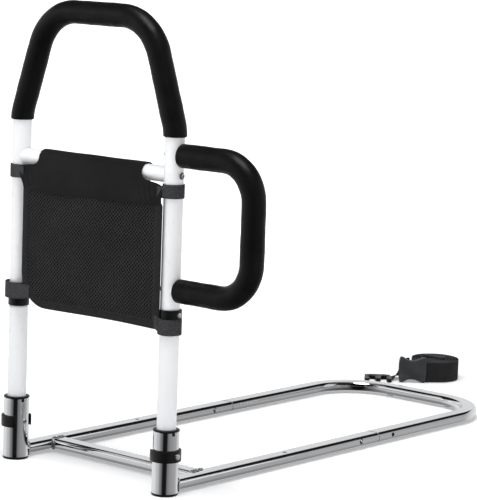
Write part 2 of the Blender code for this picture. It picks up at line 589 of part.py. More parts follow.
body = [(-0.0180, 0.0004), (-0.0180, 0.0464), (-0.0255, 0.0464), (-0.0400, 0.0420), (-0.0500, 0.0418), (-0.0600, 0.0460), (-0.0680, 0.0464),
        (-0.0680, 0.0004), (-0.0600, 0.0008), (-0.0500, 0.0050), (-0.0400, 0.0048), (-0.0255, 0.0004)]
fem = plate("strap_buckle_socket", body, OUT + 0.0300, OUT + 0.0425, "grey", origin=at(-0.043, OUT + 0.036))
cut(fem, [plate("cutter", [(-0.0300, 0.0070), (-0.0300, 0.0400), (-0.0700, 0.0400), (-0.0700, 0.0070)], OUT + 0.0325, OUT + 0.0400, "grey"),
          plate("cutter", [(-0.0165, 0.0030), (-0.0165, 0.0440), (-0.0240, 0.0440), (-0.0240, 0.0030)], OUT + 0.0345, OUT + 0.0385, "grey")])

tongue = [(-0.1280, 0.0060), (-0.1280, 0.0200), (-0.1270, 0.0280), (-0.1295, 0.0340), (-0.1300, 0.0420), (-0.1265, 0.0490), (-0.1225, 0.0480),
          (-0.1205, 0.0400), (-0.1225, 0.0260), (-0.1205, 0.0215), (-0.1110, 0.0215), (-0.1090, 0.0430), (-0.1070, 0.0460), (-0.1030, 0.0460),
          (-0.1010, 0.0430), (-0.0990, 0.0215), (-0.0895, 0.0215), (-0.0875, 0.0260), (-0.0895, 0.0400), (-0.0875, 0.0480), (-0.0835, 0.0490),
          (-0.0800, 0.0420), (-0.0805, 0.0340), (-0.0830, 0.0280), (-0.0820, 0.0200), (-0.0820, 0.0060)]
tongue = [(a, b + OUT) for a, b in tongue]
male = plate("strap_buckle_plug", tongue, 0.0004, 0.0074, "plastic", upright=False, origin=at(-0.105, OUT + 0.02))
cut(male, [plate("cutter", [(-0.1245, OUT + 0.0090), (-0.1245, OUT + 0.0120), (-0.0855, OUT + 0.0120), (-0.0855, OUT + 0.0090)], -0.002, 0.012, "grey", upright=False)])

# short end of webbing: out of the roll, turned flat, to the bar of the buckle's plug
rings = []
for i in range(7):
    f = i / 6
    tw = math.pi / 2 * f
    c = at(-0.0475 - 0.0320 * f, 0.0080 + (OUT + 0.0070) * f, Z0 + WEB_W / 2 * math.cos(tw) + THICK / 2 * math.sin(tw) + 0.0002)
    e = (FRONT * math.sin(tw) + Vector((0, 0, 1)) * math.cos(tw)) * (WEB_W / 2 - 0.0004)
    m = (FRONT * math.cos(tw) - Vector((0, 0, 1)) * math.sin(tw)) * (THICK / 2 - 0.0001)
    rings.append([c + e + m, c + e - m, c - e - m, c - e + m])
add("strap_short_end", rings_to_solid(rings), "webbing")

lathe_bar = [(-0.0210, -0.0050), (-0.0190, -0.0062), (0.0190, -0.0062), (0.0210, -0.0050), (0.0210, 0.0050), (0.0190, 0.0062), (-0.0190, 0.0062), (-0.0210, 0.0050)]
ca, sa = math.cos(math.radians(38)), math.sin(math.radians(38))
turned = [(u * ca - v * sa, u * sa + v * ca) for u, v in lathe_bar]
slide = plate("strap_slider", turned, Z1 + 0.0004, Z1 + 0.0042, "grey", upright=False, origin=at(0, 0, Z1))

# ---------------------------------------------------------------- what was built
tris = 0
lo, hi = Vector((9, 9, 9)), Vector((-9, -9, -9))
bpy.context.view_layer.update()
for ob in bpy.data.objects:
    ob.data.calc_loop_triangles()
    tris += len(ob.data.loop_triangles)
    for v in ob.data.vertices:
        w = ob.matrix_world @ v.co
        lo = Vector(map(min, lo, w))
        hi = Vector(map(max, hi, w))
print(sorted(((len(o.data.loop_triangles), o.name) for o in bpy.data.objects), reverse=True)[:26])
print("nodes", len(bpy.data.objects), "triangles", tris)
print("box", [round(c, 5) for c in lo], [round(c, 5) for c in hi])
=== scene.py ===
import math

import bmesh
import bpy
import numpy as np
from mathutils import Matrix, Vector


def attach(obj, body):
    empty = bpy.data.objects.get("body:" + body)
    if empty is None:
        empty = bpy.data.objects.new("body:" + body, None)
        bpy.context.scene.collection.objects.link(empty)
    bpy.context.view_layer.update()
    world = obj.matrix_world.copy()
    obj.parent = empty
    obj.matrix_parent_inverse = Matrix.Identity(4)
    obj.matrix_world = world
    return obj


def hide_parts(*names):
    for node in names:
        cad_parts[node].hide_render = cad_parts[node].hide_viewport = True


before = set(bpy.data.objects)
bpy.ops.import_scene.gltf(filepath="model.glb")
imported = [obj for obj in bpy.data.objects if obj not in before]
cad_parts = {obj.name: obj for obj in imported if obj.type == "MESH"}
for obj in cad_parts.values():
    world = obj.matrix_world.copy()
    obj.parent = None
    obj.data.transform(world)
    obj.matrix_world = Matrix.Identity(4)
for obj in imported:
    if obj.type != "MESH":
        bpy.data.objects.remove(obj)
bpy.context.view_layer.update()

# ---------------------------------------------------------------- dimensions, as in the CAD
S = Vector((-0.06478, -0.51951, 0.0))
POST_X, POST_R, POST_WALL, SPIGOT_R = 0.155, 0.0143, 0.0012, 0.0127
SHOULDER_Z, SPIGOT_TOP, LEG_BOTTOM, UPPER_BOTTOM = 0.2370, 0.2935, 0.0135, 0.2395
LOOP_TOP_Z, LOOP_LEAN_Z, LOOP_CORNER_X, LOOP_CORNER_R, LEAN_BEND = 0.6860, 0.5300, 0.1030, 0.0760, 0.0550
GRIP_R, GRIP_START_Z = 0.0175, 0.5200
BAR_Z, BAR_R = 0.4655, 0.0118
HANDLE_TOP_Z, HANDLE_LOW_Z, HANDLE_X, HANDLE_R, HANDLE_BEND = 0.4945, 0.3005, 0.3055, 0.0111, 0.0560
SOCKET_R, SOCKET_WALL, SOCKET_LOW, SOCKET_TOP = 0.0193, 0.0016, 0.0030, 0.0945
PIN_Z, MID_PIN_Z, MID_CLIP_H, CLIP_H = 0.0590, 0.2655, 0.0140, 0.0170
RAIL_W, RAIL_H, RAIL_WALL, RAIL_Z, RAIL_END = 0.0280, 0.0155, 0.0015, 0.01295, 0.4930
LOOP_END_Y, BASE_BEND, SLEEVE_W, SLEEVE_H, CROSS_Y, BUTTON_Y = 0.8240, 0.0960, 0.0244, 0.0119, 0.0812, 0.4480
POUCH_X0, POUCH_X1, POUCH_Y, POUCH_LOW, FLAP_Z, SLEEVE_X = -0.1290, 0.1510, -0.0183, 0.2440, 0.4240, 0.1040
WEB_W, COIL = 0.0380, (-0.1071, 1.0195)
rng = np.random.default_rng(7)
V = Vector


# ---------------------------------------------------------------- node helpers
class Mat:
    """A Principled material with a small chain of procedural nodes."""

    def __init__(self, name, base, rough, metal=0.0, **sockets):
        self.m = bpy.data.materials.new(name)
        self.m.use_nodes = True
        self.t = self.m.node_tree
        self.b = self.t.nodes["Principled BSDF"]
        self.b.inputs["Base Color"].default_value = (*base, 1)
        self.b.inputs["Roughness"].default_value = rough
        self.b.inputs["Metallic"].default_value = metal
        for k, v in sockets.items():
            self.b.inputs[k.replace("_", " ")].default_value = v
        self.m.diffuse_color = (*base, 1)
        self.height = None

    def node(self, kind, **props):
        n = self.t.nodes.new(kind)
        for k, v in props.items():
            setattr(n, k, v)
        return n

    def link(self, a, b):
        self.t.links.new(a, b)

    def coords(self, which="Object"):
        return self.node("ShaderNodeTexCoord").outputs[which]

    def noise(self, scale, detail=2.0, rough=0.5, stretch=None, which="Object"):
        c = self.coords(which)
        if stretch:
            mp = self.node("ShaderNodeMapping")
            mp.inputs["Scale"].default_value = stretch
            self.link(c, mp.inputs["Vector"])
            c = mp.outputs["Vector"]
        n = self.node("ShaderNodeTexNoise")
        n.inputs["Scale"].default_value = scale
        n.inputs["Detail"].default_value = detail
        n.inputs["Roughness"].default_value = rough
        self.link(c, n.inputs["Vector"])
        return n.outputs["Fac"]

    def math(self, op, a, b=None, c=None, clamp=False):
        n = self.node("ShaderNodeMath", operation=op, use_clamp=clamp)
        for i, v in enumerate((a, b, c)):
            if v is None:
                continue
            if isinstance(v, (int, float)):
                n.inputs[i].default_value = v
            else:
                self.link(v, n.inputs[i])
        return n.outputs[0]

    def spread(self, fac, lo, hi, to_lo, to_hi):
        n = self.node("ShaderNodeMapRange")
        self.link(fac, n.inputs["Value"])
        for k, v in (("From Min", lo), ("From Max", hi), ("To Min", to_lo), ("To Max", to_hi)):
            n.inputs[k].default_value = v
        return n.outputs["Result"]

    def mix(self, fac, a, b):
        n = self.node("ShaderNodeMix", data_type="RGBA")
        self.link(fac, n.inputs["Factor"])
        for s, v in (("A", a), ("B", b)):
            i = [q for q in n.inputs if q.name == s and q.type == "RGBA"][0]
            if isinstance(v, tuple):
                i.default_value = (*v, 1)
            else:
                self.link(v, i)
        return [q for q in n.outputs if q.type == "RGBA"][0]

    def color(self, out):
        self.link(out, self.b.inputs["Base Color"])

    def rough(self, out):
        self.link(out, self.b.inputs["Roughness"])

    def bump(self, height, strength=0.3, distance=0.0005):
        n = self.node("ShaderNodeBump")
        n.inputs["Strength"].default_value = strength
        n.inputs["Distance"].default_value = distance
        self.link(height, n.inputs["Height"])
        self.link(n.outputs["Normal"], self.b.inputs["Normal"])

    def xyz(self, which="Object"):
        n = self.node("ShaderNodeSeparateXYZ")
        self.link(self.coords(which), n.inputs[0])
        return n.outputs


def paint():
    m = Mat("white_powder_coat", (0.80, 0.805, 0.815), 0.32, Specular_IOR_Level=0.35, Coat_Weight=0.12, Coat_Roughness=0.14)
    n = m.noise(14, 3)
    m.color(m.mix(m.spread(n, 0.3, 0.7, 0, 1), (0.785, 0.791, 0.803), (0.825, 0.829, 0.836)))
    m.rough(m.spread(m.noise(60, 2), 0.3, 0.7, 0.26, 0.36))
    m.bump(m.noise(900, 2), 0.10, 0.0002)
    return m.m


def chrome(name="chrome_plate", stretch=(1, 1, 1)):
    m = Mat(name, (0.70, 0.71, 0.725), 0.08, 1.0)
    n = m.noise(9, 3, 0.6, stretch)
    m.color(m.mix(m.spread(n, 0.3, 0.7, 0, 1), (0.66, 0.67, 0.69), (0.75, 0.755, 0.77)))
    m.rough(m.spread(m.noise(45, 4, 0.7, stretch), 0.3, 0.75, 0.055, 0.15))
    m.bump(m.noise(260, 2, 0.5, stretch), 0.05, 0.0002)
    return m.m


def weld():
    m = Mat("weld_bead", (0.62, 0.63, 0.65), 0.22, 1.0)
    n = m.noise(420, 3)
    m.color(m.mix(m.spread(n, 0.35, 0.7, 0, 1), (0.42, 0.42, 0.44), (0.74, 0.75, 0.77)))
    m.rough(m.spread(n, 0.3, 0.7, 0.14, 0.36))
    m.bump(m.noise(600, 3), 0.5, 0.0006)
    return m.m


def zinc(name="bright_zinc"):
    m = Mat(name, (0.66, 0.67, 0.69), 0.2, 1.0)
    n = m.noise(300, 3)
    m.color(m.mix(m.spread(n, 0.3, 0.7, 0, 1), (0.50, 0.51, 0.53), (0.66, 0.67, 0.69)))
    m.rough(m.spread(n, 0.3, 0.7, 0.15, 0.28))
    return m.m


def foam():
    m = Mat("foam_skin", (0.004, 0.004, 0.0044), 0.36, Specular_IOR_Level=0.10)
    n = m.noise(26, 3)
    m.color(m.mix(m.spread(n, 0.3, 0.7, 0, 1), (0.0030, 0.0030, 0.0033), (0.0055, 0.0055, 0.0060)))
    v = m.node("ShaderNodeTexVoronoi")
    v.inputs["Scale"].default_value = 1100
    m.link(m.coords(), v.inputs["Vector"])
    pores = m.math("MULTIPLY_ADD", m.noise(700, 3), 0.6, v.outputs["Distance"])
    m.rough(m.spread(m.noise(90, 3), 0.3, 0.7, 0.30, 0.40))
    m.bump(pores, 0.16, 0.0003)
    return m.m


def plastic(name="black_moulding", base=(0.004, 0.004, 0.0045), rough=0.36, spec=0.3):
    m = Mat(name, base, rough, Specular_IOR_Level=spec)
    n = m.noise(50, 3)
    hi = tuple(c * 1.5 for c in base)
    m.color(m.mix(m.spread(n, 0.35, 0.7, 0, 1), base, hi))
    m.rough(m.spread(n, 0.3, 0.7, rough - 0.07, rough + 0.10))
    m.bump(m.noise(1500, 2), 0.25, 0.0002)
    return m.m


def silicone():
    m = Mat("clear_silicone", (0.75, 0.76, 0.77), 0.35)
    m.bump(m.noise(400, 2), 0.1, 0.0002)
    m.rough(m.spread(m.noise(120, 2), 0.3, 0.7, 0.28, 0.42))
    return m.m


def weave(m, u, v, pitch):
    """A plain weave: threads over and under, as a height from 0 to 1."""
    k = math.pi / pitch
    a = m.math("SINE", m.math("MULTIPLY", u, k))
    b = m.math("SINE", m.math("MULTIPLY", v, k))
    aa, bb = m.math("ABSOLUTE", a), m.math("ABSOLUTE", b)
    over = m.math("GREATER_THAN", m.math("MULTIPLY", m.math("SINE", m.math("MULTIPLY", u, k)), m.math("SINE", m.math("MULTIPLY", v, k))), 0.0)
    n = m.node("ShaderNodeMix", data_type="FLOAT")
    m.link(over, n.inputs["Factor"])
    fl = [q for q in n.inputs if q.type == "VALUE" and q.name in "AB"]
    m.link(aa, fl[0])
    m.link(bb, fl[1])
    return [q for q in n.outputs if q.type == "VALUE"][0]


def cloth(name="pouch_cloth"):
    m = Mat(name, (0.006, 0.006, 0.007), 0.6, Specular_IOR_Level=0.14, Sheen_Weight=0.02, Sheen_Roughness=0.35)
    o = m.xyz()
    h = weave(m, o["X"], o["Z"], 0.0007)
    n = m.noise(16, 4, 0.6)
    m.color(m.mix(m.spread(n, 0.3, 0.7, 0, 1), (0.0052, 0.0052, 0.0058), (0.0092, 0.0092, 0.0102)))
    m.rough(m.spread(h, 0, 1, 0.66, 0.48))
    m.bump(m.math("ADD", h, m.math("MULTIPLY", m.noise(60, 3), 0.8)), 0.30, 0.0003)
    return m.m


def tape():
    m = Mat("binding_tape", (0.02, 0.02, 0.022), 0.82, Specular_IOR_Level=0.15, Sheen_Weight=0.04, Sheen_Roughness=0.4)
    o = m.xyz()
    k = math.pi / 0.0013
    d = m.math("ADD", o["X"], o["Z"])
    e = m.math("SUBTRACT", o["X"], o["Z"])
    h = m.math("MULTIPLY", m.math("ABSOLUTE", m.math("SINE", m.math("MULTIPLY", d, k))), m.math("ABSOLUTE", m.math("SINE", m.math("MULTIPLY", e, k))))
    m.color(m.mix(m.spread(h, 0.1, 0.9, 0, 1), (0.006, 0.006, 0.0066), (0.034, 0.034, 0.036)))
    m.rough(m.spread(m.noise(80, 3), 0.3, 0.7, 0.74, 0.92))
    m.bump(h, 0.6, 0.0005)
    return m.m


def airmesh():
    """Open diamond mesh: thick yarn round holes painted near-black, partly the black back panel behind them and partly
    painted shade inside the pouch.
    """
    m = Mat("diamond_mesh", (0.03, 0.03, 0.033), 0.72, Specular_IOR_Level=0.12, Sheen_Weight=0.02, Sheen_Roughness=0.5)
    o = m.xyz()
    px, pz = 0.00603, 0.00603
    x, z = m.math("DIVIDE", o["X"], px), m.math("DIVIDE", o["Z"], pz)
    a = m.math("PINGPONG", m.math("ADD", m.math("ADD", x, z), 200.0), 0.5)
    b = m.math("PINGPONG", m.math("ADD", m.math("SUBTRACT", x, z), 200.0), 0.5)
    near = m.math("MINIMUM", a, b)                       # 0 on a yarn's middle, 0.5 in a hole's middle
    hole = m.spread(near, 0.13, 0.20, 0, 1)
    yarn = m.math("ABSOLUTE", m.math("SINE", m.math("MULTIPLY", m.math("ADD", o["X"], m.math("MULTIPLY", o["Z"], 0.7)), math.pi / 0.00065)))
    n = m.noise(20, 3)
    body = m.mix(m.math("MULTIPLY_ADD", n, 0.6, m.math("MULTIPLY", yarn, 0.4)), (0.008, 0.008, 0.009), (0.046, 0.046, 0.049))
    # holes painted near-black: the black back panel seen through them, darkened further by painted shade
    m.color(m.mix(hole, body, (0.0004, 0.0004, 0.0005)))
    m.rough(m.spread(hole, 0, 1, 0.62, 0.95))
    m.bump(m.math("ADD", m.spread(near, 0.0, 0.26, 1.0, 0.0), m.math("MULTIPLY", yarn, 0.15)), 0.9, 0.0009)
    return m.m


def webbing(name="strap_webbing", rib=0.0016):
    """Ribbed webbing; U runs along the strap and V across it, both in metres."""
    m = Mat(name, (0.02, 0.02, 0.022), 0.85, Specular_IOR_Level=0.15, Sheen_Weight=0.03, Sheen_Roughness=0.5)
    o = m.xyz("UV")
    k = math.pi / rib
    ribs = m.math("ABSOLUTE", m.math("SINE", m.math("MULTIPLY", o["X"], k)))
    cross = m.math("ABSOLUTE", m.math("SINE", m.math("MULTIPLY", m.math("ADD", o["Y"], m.math("MULTIPLY", o["X"], 0.5)), k * 1.15)))
    h = m.math("MULTIPLY_ADD", cross, 0.5, m.math("MULTIPLY", ribs, 0.6))
    # painted highlight: the rounded selvedges are coloured lighter, as if catching the light
    edge = m.spread(m.math("ABSOLUTE", o["Y"]), 0.0174, 0.0186, 0, 1)
    band = m.mix(m.spread(h, 0.2, 1.0, 0, 1), (0.004, 0.004, 0.0044), (0.024, 0.024, 0.026))
    m.color(m.mix(edge, band, (0.060, 0.060, 0.063)))
    m.rough(m.spread(m.noise(70, 3), 0.3, 0.7, 0.76, 0.94))
    m.bump(h, 0.75, 0.0007)
    return m.m


def velcro():
    """Loop side of a hook-and-loop strap: a fuzzy nap with a faint grid."""
    m = Mat("hook_and_loop", (0.018, 0.018, 0.02), 0.92, Specular_IOR_Level=0.12, Sheen_Weight=0.06, Sheen_Roughness=0.4)
    o = m.xyz("UV")
    v = m.node("ShaderNodeTexVoronoi")
    v.inputs["Scale"].default_value = 900
    m.link(m.coords("UV"), v.inputs["Vector"])
    ribs = m.math("ABSOLUTE", m.math("SINE", m.math("MULTIPLY", o["Y"], math.pi / 0.0018)))
    h = m.math("MULTIPLY_ADD", v.outputs["Distance"], 0.9, m.math("MULTIPLY", ribs, 0.3))
    m.color(m.mix(m.spread(h, 0.25, 0.95, 0, 1), (0.006, 0.006, 0.0066), (0.070, 0.070, 0.074)))
    m.rough(m.spread(m.noise(90, 3), 0.3, 0.7, 0.82, 0.97))
    m.bump(h, 0.8, 0.0007)
    return m.m


def thread():
    m = Mat("stitching", (0.030, 0.030, 0.032), 0.6, Specular_IOR_Level=0.2)
    m.bump(m.noise(2500, 2), 0.3, 0.0002)
    m.rough(m.spread(m.noise(400, 2), 0.3, 0.7, 0.5, 0.7))
    return m.m


WHITE, CHROME, WELD, ZINC, FOAM = paint(), chrome(), weld(), zinc(), foam()
BLACK, RUBBER, GREY = plastic(), plastic("black_rubber", (0.005, 0.005, 0.0055), 0.55, 0.2), plastic("dark_grey_moulding", (0.030, 0.031, 0.034), 0.44, 0.35)
CLEAR, CLOTH, TAPE, MESH, WEB, VELCRO, THREAD = silicone(), cloth(), tape(), airmesh(), webbing(), velcro(), thread()


# ---------------------------------------------------------------- mesh helpers
def make(name, verts, faces, mat, body, replaces=(), uvs=None, angle=38, at=True):
    me = bpy.data.meshes.new(name)
    me.from_pydata([tuple(v) for v in verts], [], faces)
    if uvs is not None:
        lay = me.uv_layers.new(name="UVMap")
        for lp in me.loops:
            lay.data[lp.index].uv = uvs[lp.vertex_index]
    bm = bmesh.new()
    bm.from_mesh(me)
    bmesh.ops.remove_doubles(bm, verts=bm.verts[:], dist=1e-7)
    bmesh.ops.recalc_face_normals(bm, faces=bm.faces[:])
    bm.to_mesh(me)
    bm.free()
    me.materials.append(mat)
    for p in me.polygons:
        p.use_smooth = True
    me.set_sharp_from_angle(angle=math.radians(angle))
    o = bpy.data.objects.new(name, me)
    bpy.context.scene.collection.objects.link(o)
    if at:
        o.location = S
    if body:
        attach(o, body)
        if replaces:
            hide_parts(*replaces)
    return o


def skin(rings, closed_rings=True, closed_path=False, start=0):
    """Faces that join rings of equal length."""
    f, n = [], len(rings[0])
    m = len(rings)
    for i in range(m if closed_path else m - 1):
        a, b = start + i * n, start + ((i + 1) % m) * n
        for j in range(n if closed_rings else n - 1):
            k = (j + 1) % n
            f.append((a + j, a + k, b + k, b + j))
    return f


def fillet(corners, radii, n=20):
    pts = [V(corners[0])]
    for k in range(1, len(corners) - 1):
        a, b, c = (V(corners[k + d]) for d in (-1, 0, 1))
        u, v = (a - b).normalized(), (c - b).normalized()
        half = u.angle(v) / 2
        r = radii[k - 1]
        mid = b + (u + v).normalized() * (r / math.sin(half))
        s, e = b + u * (r / math.tan(half)) - mid, b + v * (r / math.tan(half)) - mid
        ang = s.angle(e)
        for i in range(n + 1):
            f = i / n
            pts.append(mid + (s * math.sin((1 - f) * ang) + e * math.sin(f * ang)) / math.sin(ang))
    pts.append(V(corners[-1]))
    return pts


class Path:
    """A planar polyline that gives its point and its in-plane side direction at any length along it."""

    def __init__(self, pts, normal):
        self.p = [V(p) for p in pts]
        self.n = V(normal)
        self.s = [0.0]
        for a, b in zip(self.p, self.p[1:]):
            self.s.append(self.s[-1] + (b - a).length)
        self.length = self.s[-1]
        self.t = []
        for i in range(len(self.p)):
            d0 = (self.p[i] - self.p[i - 1]).normalized() if i else None
            d1 = (self.p[i + 1] - self.p[i]).normalized() if i < len(self.p) - 1 else None
            self.t.append(((d0 or d1) + (d1 or d0)).normalized())

    def at(self, s):
        s = min(max(s, 0.0), self.length)
        i = min(int(np.searchsorted(self.s, s, side="right")) - 1, len(self.p) - 2)
        f = (s - self.s[i]) / max(1e-12, self.s[i + 1] - self.s[i])
        p = self.p[i].lerp(self.p[i + 1], f)
        t = self.t[i].lerp(self.t[i + 1], f).normalized()
        return p, self.n.cross(t), t


def section_circle(n=48):
    return [(math.cos(2 * math.pi * i / n), math.sin(2 * math.pi * i / n)) for i in range(n)]


def oval_arcs(h):
    """Radii of a base tube's crowned side and of its corners, for an outer or an inner height."""
    rc = max(0.0003, 0.0024 - (RAIL_H - h) / 2)
    return (h / 2 - rc * (1 - math.sqrt(0.5))) / math.sqrt(0.5), rc


def section_oval(w, h, n=12, flat=5):
    """Pressed tube: flat top and bottom, tight corners, sides crowned to an arc. In metres."""
    big, rc = oval_arcs(h)
    c, q = w / 2 - big, (big - rc) * math.sqrt(0.5)
    m = n // 2
    pts = [(c + q + rc * math.cos(a), -q + rc * math.sin(a)) for a in [math.radians(-90 + 45 * i / m) for i in range(m)]]
    pts += [(c + big * math.cos(a), big * math.sin(a)) for a in [math.radians(-45 + 90 * i / n) for i in range(n + 1)]]
    pts += [(c + q + rc * math.cos(a), q + rc * math.sin(a)) for a in [math.radians(45 + 45 * (i + 1) / m) for i in range(m)]]
    x0 = pts[-1][0]
    top = [(x0 - 2 * x0 * (i + 1) / (flat + 1), h / 2) for i in range(flat)]
    return pts + top + [(-x, -y) for x, y in pts] + [(-x, -y) for x, y in top]


def side_face(z):
    """How far a side tube's crowned face stands from its own middle at height z."""
    big, rc = oval_arcs(RAIL_H)
    c, q = RAIL_W / 2 - big, (big - rc) * math.sqrt(0.5)
    if abs(z) <= big * math.sqrt(0.5):
        return c + math.sqrt(big * big - z * z)
    return c + q + math.sqrt(max(0.0, rc * rc - (abs(z) - q) ** 2))


def stations(length, step, fine=()):
    """Lengths along a path: every step, with extra ones given."""
    s = list(np.linspace(0, length, max(2, int(length / step) + 1))) + list(fine)
    s = sorted(s)
    out = [s[0]]
    for v in s[1:]:
        if v - out[-1] > 1e-5:
            out.append(v)
    return out


def sweep(path, sec, ss, size=None):
    """Rings of a section along a path; size(s) scales it (a number, or (in plane, across))."""
    rings = []
    for s in ss:
        p, u, t = path.at(s)
        k = size(s) if size else 1.0
        ku, kv = k if isinstance(k, tuple) else (k, k)
        rings.append([p + u * (x * ku) + path.n * (y * kv) for x, y in sec])
    return rings


def lathe_mesh(profile, n=64, axis="Z", at=(0, 0, 0)):
    """Profile of (radius, height), closed round the axis; points on the axis are allowed at its ends."""
    at = V(at)

    def put(r, a, h):
        x, y = r * math.cos(a), r * math.sin(a)
        v = {"Z": (x, y, h), "X": (h, x, y), "-X": (-h, x, -y), "Y": (x, h, y)}[axis]
        return at + V(v)
    verts, faces, rows = [], [], []
    for r, h in profile:
        if r < 1e-7:
            rows.append([len(verts)] * n)
            verts.append(put(0, 0, h))
        else:
            rows.append(list(range(len(verts), len(verts) + n)))
            verts += [put(r, 2 * math.pi * i / n, h) for i in range(n)]
    for a, b in zip(rows, rows[1:]):
        for i in range(n):
            j = (i + 1) % n
            q = list(dict.fromkeys((a[i], a[j], b[j], b[i])))
            if len(q) > 2:
                faces.append(tuple(q))
    return verts, faces


def rounded(profile, r=0.0006, n=4):
    """Rounds the corners of a (radius, height) profile."""
    out = [profile[0]]
    for i in range(1, len(profile) - 1):
        a, b, c = (V((*profile[i + d], 0)) for d in (-1, 0, 1))
        u, v = a - b, c - b
        lu, lv = u.length, v.length
        if lu < 1e-6 or lv < 1e-6 or u.angle(v) > math.radians(172):
            out.append(profile[i])
            continue
        q = min(r, lu * 0.45, lv * 0.45)
        p0, p1 = b + u.normalized() * q, b + v.normalized() * q
        for k in range(n + 1):
            f = k / n
            w = p0 * (1 - f) ** 2 + b * 2 * f * (1 - f) + p1 * f * f
            out.append((w.x, w.y))
    return out + [profile[-1]]


def cut(o, cutters):
    """Cuts meshes out of a piece and keeps the result as its own mesh."""
    for c in cutters:
        m = o.modifiers.new("cut", "BOOLEAN")
        m.operation, m.solver, m.object = "DIFFERENCE", "EXACT", c
    bpy.context.view_layer.update()
    me = bpy.data.meshes.new_from_object(o.evaluated_get(bpy.context.evaluated_depsgraph_get()))
    me.name = o.name
    mat = o.data.materials[0]
    o.modifiers.clear()
    o.data = me
    me.materials.clear()
    me.materials.append(mat)
    for p in me.polygons:
        p.material_index = 0
    for c in cutters:
        bpy.data.objects.remove(c, do_unlink=True)
    return o


def plain(name, verts, faces):
    """A cutter in the same place as the pieces."""
    me = bpy.data.meshes.new(name)
    me.from_pydata([tuple(v) for v in verts], [], faces)
    bm = bmesh.new()
    bm.from_mesh(me)
    bmesh.ops.remove_doubles(bm, verts=bm.verts[:], dist=1e-7)
    bmesh.ops.recalc_face_normals(bm, faces=bm.faces[:])
    bm.to_mesh(me)
    bm.free()
    o = bpy.data.objects.new(name, me)
    bpy.context.scene.collection.objects.link(o)
    o.location = S
    return o


def rod_cutter(r, a, axis, h0, h1, n=24):
    v, f = lathe_mesh([(0, h0), (r, h0), (r, h1), (0, h1)], n, axis, a)
    return plain("cutter", v, f)


def prism_cutter(lo, hi):
    x0, y0, z0 = lo
    x1, y1, z1 = hi
    v = [(x, y, z) for x in (x0, x1) for y in (y0, y1) for z in (z0, z1)]
    f = [(0, 1, 3, 2), (4, 6, 7, 5), (0, 4, 5, 1), (2, 3, 7, 6), (0, 2, 6, 4), (1, 5, 7, 3)]
    return plain("cutter", v, f)


def bevel(o, w, seg=2, angle=35):
    m = o.modifiers.new("soft edges", "BEVEL")
    m.width, m.segments, m.limit_method, m.angle_limit = w, seg, "ANGLE", math.radians(angle)
    m.harden_normals = False
    return o


def tube(name, pts, normal, r, wall, mat, body, replaces, n=48, step=0.006):
    """A round tube with a rounded lip at each end."""
    p = Path(pts, normal)
    sec = section_circle(n)
    lip = min(0.0004, wall / 2)
    ss = stations(p.length, step, [lip * 0.3, lip, p.length - lip, p.length - lip * 0.3])

    def out(s):
        d = min(s, p.length - s)
        return r - (lip - math.sqrt(max(0.0, lip * lip - (lip - min(d, lip)) ** 2)))
    ro = sweep(p, sec, ss, out)
    ri = sweep(p, sec, stations(p.length, step * 2), lambda s: r - wall)
    verts = [v for g in ro for v in g] + [v for g in ri for v in g]
    k = len(ro) * n
    faces = skin(ro) + skin(ri, start=k)
    for a, b in ((0, k), ((len(ro) - 1) * n, k + (len(ri) - 1) * n)):
        faces += [(a + i, a + (i + 1) % n, b + (i + 1) % n, b + i) for i in range(n)]
    return make(name, verts, faces, mat, body, replaces)


# ---------------------------------------------------------------- base: flat-oval tubes
def cope_y(x, z):
    """How far the side tube's front edge stands from the socket's axis, at x from that axis."""
    return math.sqrt(max(0.0, SOCKET_R ** 2 - x * x)) - 0.0004


def shell(name, ro, ri, mat, body, replaces, angle=38):
    """Outer and inner rings joined at both ends."""
    n, m = len(ro[0]), len(ri[0])
    verts = [v for g in ro for v in g] + [v for g in ri for v in g]
    k = len(ro) * n
    faces = skin(ro) + skin(ri, start=k)
    for a, b in ((0, k), ((len(ro) - 1) * n, k + (len(ri) - 1) * m)):
        faces += [(a + i, a + (i + 1) % n, b + (i + 1) % n, b + i) for i in range(n)]
    return make(name, verts, faces, mat, body, replaces, angle=angle)


OVAL, OVAL_IN = section_oval(RAIL_W, RAIL_H), section_oval(RAIL_W - 2 * RAIL_WALL, RAIL_H - 2 * RAIL_WALL)


def lipped(sec, d, lip=0.0008):
    """The section pulled in at a rounded lip, d from the end of the tube."""
    k = lip - math.sqrt(max(0.0, lip * lip - (lip - min(d, lip)) ** 2))
    return [(x - k * x / max(1e-9, math.hypot(x, y)), y - k * y / max(1e-9, math.hypot(x, y))) for x, y in sec]


def around(c, w=0.007, n=5):
    return list(np.linspace(c - w, c + w, n))


for side, sx in (("left", -1), ("right", 1)):
    x0 = sx * POST_X
    ys = sorted(set([0.028, 0.034] + list(np.linspace(0.04, RAIL_END - 0.004, 60)) + around(BUTTON_Y) + around(0.272) +
                    [RAIL_END - d for d in (0.0014, 0.0008, 0.0005, 0.0003, 0.0001, 0.0)]))

    def rings(sec, lip):
        out = [[V((x0 + x, cope_y(x, z), RAIL_Z + z)) for x, z in sec]]
        for y in ys:
            s = lipped(sec, RAIL_END - y) if lip else sec
            out.append([V((x0 + x, y, RAIL_Z + z)) for x, z in s])
        return out
    o = shell(f"side_tube_{side}", rings(OVAL, True), rings(OVAL_IN, False), CHROME, "base", (f"base_side_tube_{side}",))
    face = x0 + RAIL_W / 2
    cut(o, [rod_cutter(0.0042, (face, BUTTON_Y, RAIL_Z), "X", -0.006, 0.01, 32),
            rod_cutter(0.0032, (x0, 0.272, RAIL_Z), "Z", 0.0, 0.02, 24)])

